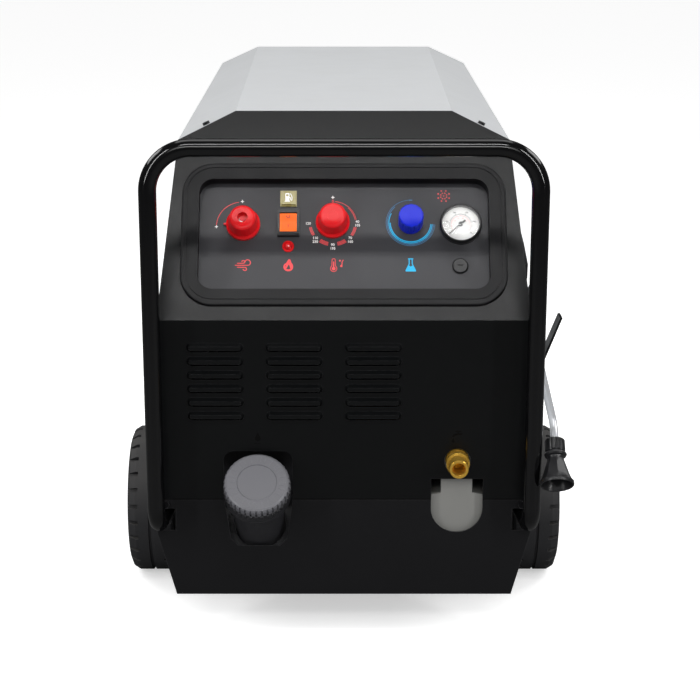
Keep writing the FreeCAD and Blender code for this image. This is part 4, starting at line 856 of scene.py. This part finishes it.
@dataclass
class Cabinet:
    """Folded sheets, their screws, the printed marks on the front plate and a black strip of painted shade
    along its seam with the skirt.
    """

    mark_tall: float = 15 * MM
    fuel_mark: tuple[float, float] = (-139 * MM, 358 * MM)
    water_mark: tuple[float, float] = (181 * MM, 356 * MM)
    seam_up: float = 251 * MM
    seam_tall: float = 2 * MM
    seam_ends: tuple[float, ...] = (-296 * MM, -195 * MM, -83 * MM, 142 * MM, 226 * MM, 296 * MM)

    def build(self) -> None:
        """Dress the sheets and the screws, print the marks and paint the shade of the seam."""
        dress(Look.SILVER_SHEET, "canopy", "left_side_panel", "right_side_panel", "rear_panel")
        dress(Look.BLACK_SHEET, "front_fascia", "chassis_tray")
        dress(Look.SKIRT_SHEET, "front_skirt")
        dress(Look.SCREW, "canopy_screws", "handle_bolts")
        self._marks()
        self._seam()

    def _seam(self) -> None:
        """Paint the shade of the gap between the front plate and the skirt as a flat black strip, beside the
        two openings.
        """
        strips = [
            moved(block(end - start, self.seam_tall, INK_TALL), (start + end) / 2, 0)
            for start, end in zip(self.seam_ends[::2], self.seam_ends[1::2])
        ]
        # Painted shade: a flat black strip where the plate meets the skirt flush.
        piece("seam_gap", joined(strips), FRONT.at(0.0, self.seam_up, 0.0), Look.MARK_BLACK, "cabinet")

    def _marks(self) -> None:
        """Print a drop over the filler and a tap with a drop over the inlet."""
        fuel = joined([drop_mark(self.mark_tall), stroke(mm((-6, -10.5), (6, -10.5)), 1.4 * MM)])
        piece("fuel_mark", fuel, FRONT.at(*self.fuel_mark, 0.0), Look.MARK_BLACK, "cabinet")
        water = joined(
            [
                moved(drop_mark(self.mark_tall * 0.55), -4.5 * MM, -4 * MM),
                stroke(mm((-4.5, 2.2), (-4.5, 7.5), (10, 7.5)), 3.4 * MM),
                stroke(mm((3.5, 7.5), (3.5, 11.5)), 2 * MM),
                stroke(mm((-1.5, 11.8), (8.5, 11.8)), 2 * MM),
            ]
        )
        piece("water_mark", water, FRONT.at(*self.water_mark, 0.0), Look.MARK_BLACK, "cabinet")


def drop_mark(tall: float) -> bmesh.types.BMesh:
    """Draw a filled drop.

    Args:
        tall: its height, in metres.

    Returns:
        The drop as a low solid.
    """
    radius = tall * 0.31
    outline = [polar(radius, angle) for angle in range(50, 311, 13)]
    outline = [(x, y - tall * 0.16) for x, y in outline]
    return prism(outline + [(0.0, tall * 0.52)], INK_TALL)


@dataclass
class PanelPrint:
    """Scales and pictograms printed on the control panel."""

    line: float = 0.9 * MM
    figure_tall: float = 6 * MM
    pressure_r: float = 41.5 * MM
    temperature_r: float = 38.5 * MM
    dosing_r: float = 39.5 * MM
    icon_up: float = 99 * MM
    icons_across: tuple[float, ...] = (-163 * MM, -89.5 * MM, -16.5 * MM, 107.5 * MM)
    spray_at: tuple[float, float] = (162.5 * MM, 218.6 * MM)

    def build(self) -> None:
        """Print every scale and pictogram."""
        self._pressure_scale()
        self._temperature_scale()
        self._dosing_scale()
        self._spray_mark()
        self._pump_icon()
        self._flame_icon()
        self._thermometer_icon()
        self._flask_icon()

    def _print(self, name: str, shapes: list[bmesh.types.BMesh], across: float, up: float,
               look: Look) -> None:
        """Lay a print's parts on the panel, its middle at a place across and up."""
        piece(name, joined(shapes), FASCIA.at(across, up, PANEL_DEPTH), look, "cabinet")

    @staticmethod
    def _plus(x: float, y: float, reach: float = 2.6 * MM,
              thick: float = 1.3 * MM) -> list[bmesh.types.BMesh]:
        """Draw the two strokes of a plus sign at a place across and up."""
        return [
            moved(block(2 * reach, thick, 2 * INK_TALL), x, y),
            moved(block(thick, 2 * reach, 2 * INK_TALL), x, y),
        ]

    def _pressure_scale(self) -> None:
        """Print the quarter arc round the pressure knob with its two signs."""
        across, up = FASCIA.find("pump_knob")
        radius = self.pressure_r
        arc = band(radius - self.line / 2, radius + self.line / 2, 272, 352)
        self._print("pressure_arc", [arc], across, up, Look.INK_RED)
        signs = self._plus(*polar(radius, 268)) + self._plus(*polar(radius + 1 * MM, 360))
        self._print("pressure_signs", signs, across, up, Look.INK_WHITE)

    def _temperature_scale(self) -> None:
        """Print the stepped arcs and the figures round the thermostat knob."""
        across, up = FASCIA.find("thermostat_knob")
        pitch = 1.7 * MM
        arcs = []
        for start, end, lines in ((6, 80, 1), (42, 80, 2), (100, 124, 3), (145, 168, 4), (192, 215, 4),
                                  (237, 260, 3)):
            for line in range(lines):
                radius = self.temperature_r - pitch * line
                arcs.append(band(radius - self.line / 2, radius + self.line / 2, start, end))
        self._print("temperature_arcs", arcs, across, up, Look.INK_RED)
        ring = 40 * MM
        figures = self._plus(0.0, 45.5 * MM)
        for angle, upper, lower in ((90, "40", "105"), (135, "70", "160"), (180, "90", "195"),
                                    (225, "110", "230")):
            x, y = polar(ring, angle)
            figures.append(moved(lettering(upper, self.figure_tall), x, y + 3.2 * MM))
            figures.append(moved(lettering(lower, self.figure_tall), x, y - 3.2 * MM))
        figures.append(moved(lettering("120", self.figure_tall), *polar(ring, 270)))
        self._print("temperature_figures", figures, across, up, Look.INK_WHITE)
        zero = moved(lettering("0", 6.5 * MM), 0, 38.5 * MM)
        self._print("temperature_zero", [zero], across, up, Look.INK_RED)

    def _dosing_scale(self) -> None:
        """Print the arcs round the dosing knob, which grow in number round it."""
        across, up = FASCIA.find("chemical_knob")
        bright, dim = [], []
        for index, start in enumerate((0, -42, -62, -90)):
            radius = self.dosing_r - 2.2 * index * MM
            wide = self.line * (0.8 + 0.35 * index)
            arc = band(radius - wide / 2, radius + wide / 2, start, -266)
            (dim if index < 2 else bright).append(arc)
        dim.append(moved(block(5.5 * MM, 1.7 * MM, 2 * INK_TALL), 0.5 * MM, self.dosing_r))
        self._print("dosing_arcs_outer", dim, across, up, Look.INK_STEEL_BLUE)
        self._print("dosing_arcs_inner", bright, across, up, Look.INK_CYAN)

    def _spray_mark(self) -> None:
        """Print the dotted star left of the gauge's top."""
        dots = [disc(0.9 * MM, INK_TALL, 12)]
        for index in range(8):
            angle = 22.5 + 45 * index
            dots.append(moved(disc(1.05 * MM, INK_TALL, 12), *polar(5.1 * MM, angle)))
            dots.append(moved(disc(1.3 * MM, INK_TALL, 12), *polar(9.6 * MM, angle)))
        self._print("spray_mark", dots, *self.spray_at, Look.INK_RED)

    def _pump_icon(self) -> None:
        """Print three curling streams under the pressure knob."""
        wide = 1.5 * MM
        upper = [(-9, 3), (-1, 3), (3, 3.4), (3.4, 7.6), (-0.6, 8), (-1.6, 5.6)]
        middle = [(-12.5, -0.4), (5, -0.4), (11.5, -0.2), (13, 5.4), (9, 9.6), (4.6, 8.4), (3.8, 5.4)]
        lower = [(-9, -3.8), (1, -3.8), (6, -4.2), (6.4, -9), (1.6, -9.4), (0.8, -7)]
        streams = [stroke(mm(*line), wide) for line in (upper, middle, lower)]
        self._print("pump_icon", streams, self.icons_across[0], self.icon_up, Look.INK_RED)

    def _flame_icon(self) -> None:
        """Print a flame with an open core under the burner lamp."""
        outer = [(0, -11), (5.4, -9.6), (7.8, -4.8), (7, 1.2), (4.2, 3.8), (3.6, 7.4), (1.6, 11.4), (-0.6, 7),
                 (-3.4, 2.6), (-4.4, 0.4), (-5.2, 2.4), (-7.6, -1), (-7.8, -5.4), (-5, -9.8)]
        whole = stroke([(x * 0.86 * MM, y * 0.86 * MM) for x, y in outer], 2.6 * MM, loop=True)
        left = stroke(mm((-4.6, -5.6), (-1.6, 0), (0.8, 6)), 3.4 * MM)
        right = stroke(mm((4.4, -6), (4.4, -1), (1.4, 3)), 3.2 * MM)
        base = stroke(mm((-3.6, -7.6), (0, -8.4), (3.6, -7.6)), 2 * MM)
        self._print("flame_icon", [whole, left, right, base], self.icons_across[1], self.icon_up,
                    Look.INK_RED)

    def _thermometer_icon(self) -> None:
        """Print a thermometer and a rising arrow under the thermostat knob."""
        outline = []
        for angle in range(-62, 63, 31):
            x, y = polar(3 * MM, angle)
            outline.append((x, y + 8 * MM))
        outline.append((2.9 * MM, -2 * MM))
        for angle in range(50, 311, 26):
            x, y = polar(5.2 * MM, angle)
            outline.append((x, y - 6 * MM))
        outline.append((-2.9 * MM, -2 * MM))
        shell = stroke(outline, 1.2 * MM, loop=True)
        stem = stroke(mm((0, -5), (0, 6)), 2 * MM)
        bulb = moved(disc(2.9 * MM, INK_TALL), 0, -6 * MM)
        arrow = stroke(mm((10.5, -2.5), (14, 1), (13, 5), (15.5, 9)), 1.3 * MM)
        spot = moved(disc(1.5 * MM, INK_TALL, 12), 10 * MM, 7.5 * MM)
        foot = moved(disc(1.9 * MM, INK_TALL, 12), 12.4 * MM, -1.6 * MM)
        parts = [shell, stem, bulb, arrow, spot, foot]
        self._print("thermometer_icon", parts, self.icons_across[2], self.icon_up, Look.INK_RED)

    def _flask_icon(self) -> None:
        """Print a half-filled flask under the dosing knob."""
        rim = stroke(mm((-4, 10.6), (4, 10.6)), 1.8 * MM)
        left = stroke(mm((-2.4, 10), (-2.4, 2.4), (-2.6, 1.4), (-7.4, -8)), 1.5 * MM)
        right = stroke(mm((2.4, 10), (2.4, 2.4), (2.6, 1.4), (7.4, -8)), 1.5 * MM)
        filled = prism(
            mm((-8.6, -9), (-8.2, -11), (8.2, -11), (8.6, -9), (4.3, -1.2), (1.4, -1.2),
               (0, -3), (-1.4, -1.2), (-4.3, -1.2)),
            INK_TALL,
        )
        self._print("flask_icon", [rim, left, right, filled], self.icons_across[3], self.icon_up,
                    Look.INK_CYAN)


@dataclass
class Controls:
    """Knobs, lamps and the rocker on the panel."""

    screw_r: float = 4.4 * MM
    screw_deep: float = 10 * MM
    face_tall: float = 0.35 * MM

    def build(self) -> None:
        """Dress the controls and add their small pieces."""
        dress(Look.BEZEL, "panel_bezel")
        dress(Look.PANEL, "control_panel")
        dress(Look.KNOB_RED, "pump_knob", "thermostat_knob")
        dress(Look.KNOB_BLUE, "chemical_knob")
        dress(Look.STEEL, "pressure_regulator", "dosing_valve")
        dress(Look.BLACK_PLASTIC, "thermostat", "switch_housing", "blanking_plug")
        dress(Look.ROCKER_ORANGE, "rocker_switch")
        dress(Look.LAMP_OLIVE, "fuel_lamp")
        dress(Look.LAMP_RED, "burner_lamp")
        self._knob_screw()
        self._rocker_marks()
        self._fuel_sign()
        self._lamp_collar()
        self._knob_faces()

    def _on(
        self,
        node: str,
        name: str,
        shape: bmesh.types.BMesh,
        look: Look,
        body: str,
        rise: float = 0.0,
        out: float = 0.0,
    ) -> None:
        """Lay a shape on the highest point of a control, raised up the face or stood off it."""
        across, up = FASCIA.find(node)
        piece(name, shape, FASCIA.at(across, up + rise, FASCIA.reach(node) + out), look, body)

    def _knob_screw(self) -> None:
        """Add the bright screw down in the pressure knob."""
        r = self.screw_r
        head = lathe([(0.0, 2.2 * MM), (r * 0.45, 2.1 * MM), (r * 0.85, 1.5 * MM), (r, 0.5 * MM), (r, 0.0)],
                     24)
        self._on("pump_knob", "knob_screw", head, Look.CHROME, "pressure_control", out=-self.screw_deep)
        bars = [turned(block(5.2 * MM, 0.9 * MM, 0.6 * MM), angle) for angle in (30, 120)]
        cross = moved(joined(bars), 0, 0, 2.1 * MM)
        self._on("pump_knob", "knob_screw_cross", cross, Look.INK_BLACK, "pressure_control",
                 out=-self.screw_deep)

    def _rocker_marks(self) -> None:
        """Mark the rocker's ends with a ring and a bar."""
        ring = band(2.1 * MM, 3.1 * MM, 0, 360, 0.5 * MM)
        self._on("rocker_switch", "rocker_ring", ring, Look.INK_DARK_RED, "rocker", 8 * MM, -1.2 * MM)
        bar = block(1.1 * MM, 5 * MM, 1.0 * MM, 0.15 * MM)
        self._on("rocker_switch", "rocker_bar", bar, Look.INK_DARK_RED, "rocker", -8 * MM, -1.2 * MM)

    def _fuel_sign(self) -> None:
        """Draw a fuel pump on the upper lamp."""
        tank = prism(mm((-5.1, -7), (1.5, -7), (1.5, 6), (0.7, 7), (-4.3, 7), (-5.1, 6)), 0.4 * MM)
        foot = moved(block(8.6 * MM, 1.4 * MM, 0.7 * MM), -1.8 * MM, -7 * MM)
        hose = stroke(mm((1.5, 0), (3.5, 0), (3.7, -5.4), (5.9, -5.4), (5.9, 2.4), (3.1, 6.4)), 1.2 * MM)
        self._on("fuel_lamp", "fuel_sign", joined([tank, foot, hose]), Look.INK_WHITE, "cabinet")
        window = moved(block(4 * MM, 3.2 * MM, 0.4 * MM), -1.8 * MM, 3.4 * MM, 0.35 * MM)
        self._on("fuel_lamp", "fuel_sign_window", window, Look.LAMP_OLIVE, "cabinet")

    def _knob_faces(self) -> None:
        """Add the rings on the two red knobs and the curl on the dosing knob."""
        ring = band(8.2 * MM, 9.1 * MM, 0, 360, self.face_tall)
        self._on("thermostat_knob", "thermostat_knob_ring", ring, Look.KNOB_RED, "temperature_control")
        rim = band(11.4 * MM, 12.3 * MM, 0, 360, self.face_tall)
        self._on("pump_knob", "pump_knob_ring", rim, Look.KNOB_RED, "pressure_control")
        curl = stroke(mm((-6, 5), (-1, 6), (2, 2), (-1, -2), (1, -6), (6, -5)), 0.9 * MM)
        self._on("chemical_knob", "chemical_knob_curl", curl, Look.KNOB_BLUE, "dosing_control")

    def _lamp_collar(self) -> None:
        """Add the dark collar round the burner lamp."""
        across, up = FASCIA.find("burner_lamp")
        ring = lathe(mm((7.4, 0), (8.6, 0), (8.6, 1), (8.1, 1.5), (7.4, 1.5), (7.4, 0)), 40)
        piece("burner_lamp_collar", ring, FASCIA.at(across, up, PANEL_DEPTH), Look.BLACK_PLASTIC, "cabinet")


@dataclass
class Gauge:
    """The pressure gauge and its printed dial."""

    outer_r: float = 17.6 * MM
    outer_figures_r: float = 22.6 * MM
    inner_r: float = 15.0 * MM
    inner_figures_r: float = 11.0 * MM
    ticks: int = 51
    start: float = -130.0
    sweep: float = 260.0

    def build(self) -> None:
        """Dress the gauge and print its dial."""
        dress(Look.BLACK_PLASTIC, "gauge_case")
        dress(Look.DIAL_WHITE, "gauge_dial")
        dress(Look.CLEAR_LENS, "gauge_lens")
        dress(Look.INK_BLACK, "gauge_needle")
        across, up = FASCIA.find("gauge_dial")
        place = FASCIA.at(across, up, FASCIA.reach("gauge_dial"))
        piece("dial_scale", joined(self._scale()), place, Look.INK_BLACK, "cabinet")
        piece("dial_inner_scale", joined(self._inner()), place, Look.INK_RED, "cabinet")

    def _scale(self) -> list[bmesh.types.BMesh]:
        """Draw the outer scale.

        Returns:
            Its ticks, its line and its figures.
        """
        shapes = []
        for index in range(self.ticks):
            angle = self.start + self.sweep * index / (self.ticks - 1)
            main = index % 10 == 0
            half = index % 5 == 0
            reach = (2.8 if main else 2.2 if half else 1.3) * MM
            tick = block((0.55 if main else 0.3) * MM, reach, INK_TALL)
            shapes.append(turned(moved(tick, 0, self.outer_r + reach / 2), -angle))
            if main:
                x, y = polar(self.outer_figures_r, angle)
                shapes.append(moved(lettering(str(index // 2 * 10), 3.6 * MM, INK_TALL / 2), x, y))
        shapes.append(band(self.outer_r - 0.4 * MM, self.outer_r, self.start, self.start + self.sweep,
                           INK_TALL / 2))
        return shapes

    def _inner(self) -> list[bmesh.types.BMesh]:
        """Draw the inner scale.

        Returns:
            Its ticks, its line and its figures.
        """
        shapes = [band(self.inner_r, self.inner_r + 0.35 * MM, self.start, self.start + self.sweep,
                       INK_TALL / 2)]
        for index in range(36):
            angle = self.start + self.sweep * index / 35
            reach = (2.0 if index % 5 == 0 else 1.0) * MM
            tick = block(0.3 * MM, reach, INK_TALL)
            shapes.append(turned(moved(tick, 0, self.inner_r - reach / 2), -angle))
        for index in range(8):
            angle = self.start + self.sweep * index / 7
            x, y = polar(self.inner_figures_r, angle)
            shapes.append(moved(lettering(str(index * 5), 2.6 * MM, INK_TALL / 2), x, y))
        return shapes


@dataclass
class Filling:
    """Fuel filler, float tank and water inlet."""

    root: tuple[float, float, float] = (-139 * MM, -450.5 * MM, 186 * MM)
    lean: float = 42.5
    cap_low: float = 113 * MM
    cap_high: float = 155 * MM
    cap_r: float = 53 * MM

    def build(self) -> None:
        """Dress the tanks, the cap and the inlet, and add the cap's marks and collar."""
        dress(Look.TANK_BLACK, "fuel_tank")
        dress(Look.SEAL, "cap_seal")
        dress(Look.CAP_GREY, "fuel_cap")
        dress(Look.TANK_GREY, "float_tank")
        dress(Look.BRASS, "inlet_fitting")
        self._lid_marks()
        self._collar()

    def _cap_piece(self, name: str, shape: bmesh.types.BMesh, along: float, look: Look) -> None:
        """Put a shape on the cap's axis, a distance up from the filler's root."""
        place = Matrix.Translation(self.root) @ Matrix.Rotation(math.radians(self.lean), 4, "X")
        piece(name, shape, place @ Matrix.Translation((0, 0, along)), look, "filler_cap")

    def _lid_marks(self) -> None:
        """Raise the short radial marks round the lid."""
        bars = [
            band(36 * MM, 46 * MM, angle, angle + (3 if angle % 45 else 8),
                 0.45 * MM) for angle in range(0, 360, 15)
        ]
        self._cap_piece("cap_lid_marks", joined(bars), self.cap_high, Look.CAP_GREY)

    def _collar(self) -> None:
        """Add the dark collar and the row of block teeth under the lid."""
        profile = (
            (-1, 0), (0.6, 0), (0.9, 1), (0.9, 6), (0.3, 7), (0.3, 8), (0.8, 9), (0.8, 13), (0.2, 14),
            (0.2, 26), (-1, 26)
        )
        rings = lathe([(self.cap_r + out * MM, up * MM) for out, up in profile], 96)
        self._cap_piece("cap_collar", rings, self.cap_low, Look.CAP_DARK)
        teeth = [
            turned(moved(block(5.4 * MM, 2.4 * MM, 9 * MM, 0.5 * MM), 0, self.cap_r, 20 * MM), angle)
            for angle in range(0, 360, 10)
        ]
        self._cap_piece("cap_teeth", joined(teeth), self.cap_low, Look.CAP_DARK)


@dataclass
class Handle:
    """The bent tube in front of the cabinet."""

    def build(self) -> None:
        """Dress the tube."""
        dress(Look.TUBE_BLACK, "push_handle")


@dataclass
class Wheels:
    """Wheels, axle and casters."""

    def build(self) -> None:
        """Dress every wheel and its hardware."""
        for side in ("left", "right"):
            dress(Look.TYRE, side + "_tyre")
            dress(Look.HUB, side + "_wheel_hub")
            dress(Look.ZINC, side + "_caster_plate", side + "_caster_fork")
            dress(Look.CASTER_TREAD, side + "_caster_wheel")
        dress(Look.BLACK_SHEET, "axle_beam")
        dress(Look.ZINC, "wheel_axle", "axle_collars")


@dataclass
class EngineBay:
    """Boiler, motor and pump inside the cabinet."""

    def build(self) -> None:
        """Dress every piece of the bay."""
        dress(Look.BOILER, "boiler_drum", "exhaust_flue")
        dress(Look.BLACK_PLASTIC, "burner", "cooling_fan")
        dress(Look.MOTOR_PAINT, "motor_housing")
        dress(Look.STEEL, "motor_rotor")
        dress(Look.PUMP_BRASS, "high_pressure_pump")
        dress(Look.BRASS, "outlet_fitting")


@dataclass
class Lance:
    """The steel lance with its guard, gun and hooks."""

    tip: tuple[float, float, float] = (337 * MM, -527.9 * MM, 361.7 * MM)
    tip_lean: float = 138.0
    flutes: int = 12
    facets: int = 8

    def build(self) -> None:
        """Dress the lance and shape its guard."""
        dress(Look.CHROME, "lance_pipe")
        dress(Look.BLACK_PLASTIC, "gun_body")
        dress(Look.KNOB_RED, "gun_trigger")
        dress(Look.BLACK_SHEET, "front_lance_hook", "rear_lance_hook")
        self._guard()

    def _guard(self) -> None:
        """Shape the guard: fluted nut, collar, faceted trumpet and rolled bell."""
        nut = ((8, 0), (15, 0), (16.2, 1.5), (16.2, 19), (15, 20.5), (14, 21.5), (17, 23), (18.2, 25.5),
               (17, 28))
        horn = ((13.6, 29.5), (13.2, 33), (16.8, 45), (20.8, 58), (24.6, 67), (27.2, 72), (27.5, 76),
                (26.6, 77.8))
        mouth = ((25.2, 77.4), (24, 75), (21, 66), (16, 50), (11, 36), (5, 34), (0, 34))
        shape = lathe(mm(*nut, *horn, *mouth), 96)
        for vert in shape.verts:
            x, y, z = vert.co
            angle = math.atan2(y, x)
            if 1 * MM < z < 20 * MM:
                vert.co.xy *= 1 - 0.11 * max(0.0, math.cos(self.flutes * angle))
            elif any(abs(z - level * MM) < 0.1 * MM for level in (33, 45, 58, 67)):
                part = math.pi / self.facets
                vert.co.xy *= math.cos(part) / math.cos(angle % (2 * part) - part)
        place = Matrix.Translation(self.tip) @ Matrix.Rotation(math.radians(self.tip_lean), 4, "X")
        guard = piece("guard_bell", shape, place, Look.GUARD_BLACK, "lance")
        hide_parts("nozzle_guard")


# Studio

Levels = tuple[tuple[str, float], ...]

# Each soft box: name, place, point it looks at, width and height in metres, power in watts.
LAMPS = (
    ("key_box", (0.0, -1.9, 2.7), (0.0, -0.3, 0.6), (1.8, 0.14), 18.0),
    ("front_strip", (0.0, -3.1, 2.0), (0.0, -0.5, 0.5), (1.8, 0.3), 16.0),
    ("left_front_box", (-1.2, -3.3, 2.3), (-0.2, -0.5, 0.6), (0.5, 0.9), 3.0),
    ("right_front_box", (1.2, -3.3, 2.3), (0.2, -0.5, 0.6), (0.5, 0.9), 3.0),
    ("top_box", (0.0, 0.6, 2.9), (0.0, 0.2, 0.8), (2.4, 1.6), 19.0),
    ("left_strip", (-1.9, -2.2, 1.6), (0.0, -0.4, 0.6), (0.14, 2.0), 22.0),
    ("right_strip", (1.9, -2.2, 1.6), (0.0, -0.4, 0.6), (0.14, 2.0), 24.0),
    ("left_box", (-1.9, 0.4, 1.9), (0.0, 0.3, 0.7), (1.6, 0.8), 16.0),
    ("right_box", (1.9, 0.4, 1.9), (0.0, 0.3, 0.7), (1.6, 0.8), 16.0),
)


@dataclass
class Studio:
    """Floor, light and camera."""

    camera_at: tuple[float, float, float] = (-0.006, -3.3655, 1.331)
    camera_down: float = 16.1
    lens: float = 96.3
    shift: float = 0.014
    floor_half: float = 30.0
    world_levels: Levels = (
        ("Is Camera Ray", 1.0),
        ("Is Transmission Ray", 1.0),
        ("Is Diffuse Ray", 0.52),
        ("Is Glossy Ray", 0.06),
    )
    floor_levels: Levels = (("Is Camera Ray", 1.0), ("Is Diffuse Ray", 0.4), ("Is Glossy Ray", 0.12))
    floor_glow: Levels = (("Is Camera Ray", 0.48),)

    def build(self) -> None:
        """Make the floor, the world, the lamps and the camera."""
        bpy.context.scene.view_settings.view_transform = "Standard"
        self._floor()
        self._world()
        self._lamps()
        self._camera()

    def _floor(self) -> None:
        """Lay the pale floor."""
        shape = bmesh.new()
        bmesh.ops.create_grid(shape, x_segments=2, y_segments=2, size=self.floor_half)
        mesh = bpy.data.meshes.new("floor")
        shape.to_mesh(mesh)
        shape.free()
        floor = bpy.data.objects.new("floor", mesh)
        bpy.context.scene.collection.objects.link(floor)
        pale = bpy.data.materials.new("pale_floor")
        pale.use_nodes = True
        tree = pale.node_tree
        shader = tree.nodes["Principled BSDF"]
        shader.inputs["Roughness"].default_value = 0.6
        shader.inputs["Specular IOR Level"].default_value = 0.1
        shader.inputs["Emission Color"].default_value = (1, 1, 1, 1)
        tree.links.new(self._by_ray(tree, self.floor_levels), shader.inputs["Base Color"])
        tree.links.new(self._by_ray(tree, self.floor_glow), shader.inputs["Emission Strength"])
        mesh.materials.append(pale)

    def _world(self) -> None:
        """Give the world its soft light, its white for the camera and its dark for gloss."""
        world = bpy.data.worlds.new("studio")
        bpy.context.scene.world = world
        world.use_nodes = True
        tree = world.node_tree
        shader = tree.nodes["Background"]
        shader.inputs["Color"].default_value = (1, 1, 1, 1)
        tree.links.new(self._by_ray(tree, self.world_levels), shader.inputs["Strength"])

    @staticmethod
    def _by_ray(tree: bpy.types.NodeTree, levels: Levels) -> bpy.types.NodeSocket:
        """Give each kind of ray its own level.

        Args:
            tree: the tree to work in.
            levels: kinds of ray with their levels.

        Returns:
            The socket with the level.
        """
        path = tree.nodes.new("ShaderNodeLightPath")
        total = tree.nodes.new("ShaderNodeValue").outputs[0]
        total.default_value = 0.0
        for ray, level in levels:
            share = tree.nodes.new("ShaderNodeMath")
            share.operation = "MULTIPLY_ADD"
            share.use_clamp = True
            share.inputs[1].default_value = level
            tree.links.new(path.outputs[ray], share.inputs[0])
            tree.links.new(total, share.inputs[2])
            total = share.outputs[0]
        return total

    def _lamps(self) -> None:
        """Hang the soft boxes."""
        for name, at, towards, size, power in LAMPS:
            lamp = bpy.data.lights.new(name, "AREA")
            lamp.shape = "RECTANGLE"
            lamp.size, lamp.size_y = size
            lamp.energy = power
            hung = bpy.data.objects.new(name, lamp)
            hung.location = at
            hung.rotation_euler = (Vector(towards) - Vector(at)).to_track_quat("-Z", "Y").to_euler()
            bpy.context.scene.collection.objects.link(hung)

    def _camera(self) -> None:
        """Set the camera at the photograph's angle."""
        lens = bpy.data.cameras.new("camera")
        lens.lens = self.lens
        lens.sensor_width = 36.0
        lens.shift_x = self.shift
        lens.clip_start, lens.clip_end = 0.1, 200.0
        camera = bpy.data.objects.new("camera", lens)
        camera.location = self.camera_at
        camera.rotation_euler = Matrix.Rotation(math.radians(90 - self.camera_down), 4, "X").to_euler()
        bpy.context.scene.collection.objects.link(camera)
        bpy.context.scene.camera = camera


def main() -> None:
    """Build the sub-assemblies in order."""
    logging.basicConfig(level=logging.INFO, format="%(message)s")
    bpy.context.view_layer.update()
    for part in (Cabinet(), PanelPrint(), Controls(), Gauge(), Filling(), Handle(), Wheels(), EngineBay(),
                 Lance(), Studio()):
        log.info("building %s", type(part).__name__)
        part.build()
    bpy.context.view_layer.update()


if __name__ == "__main__":
    main()
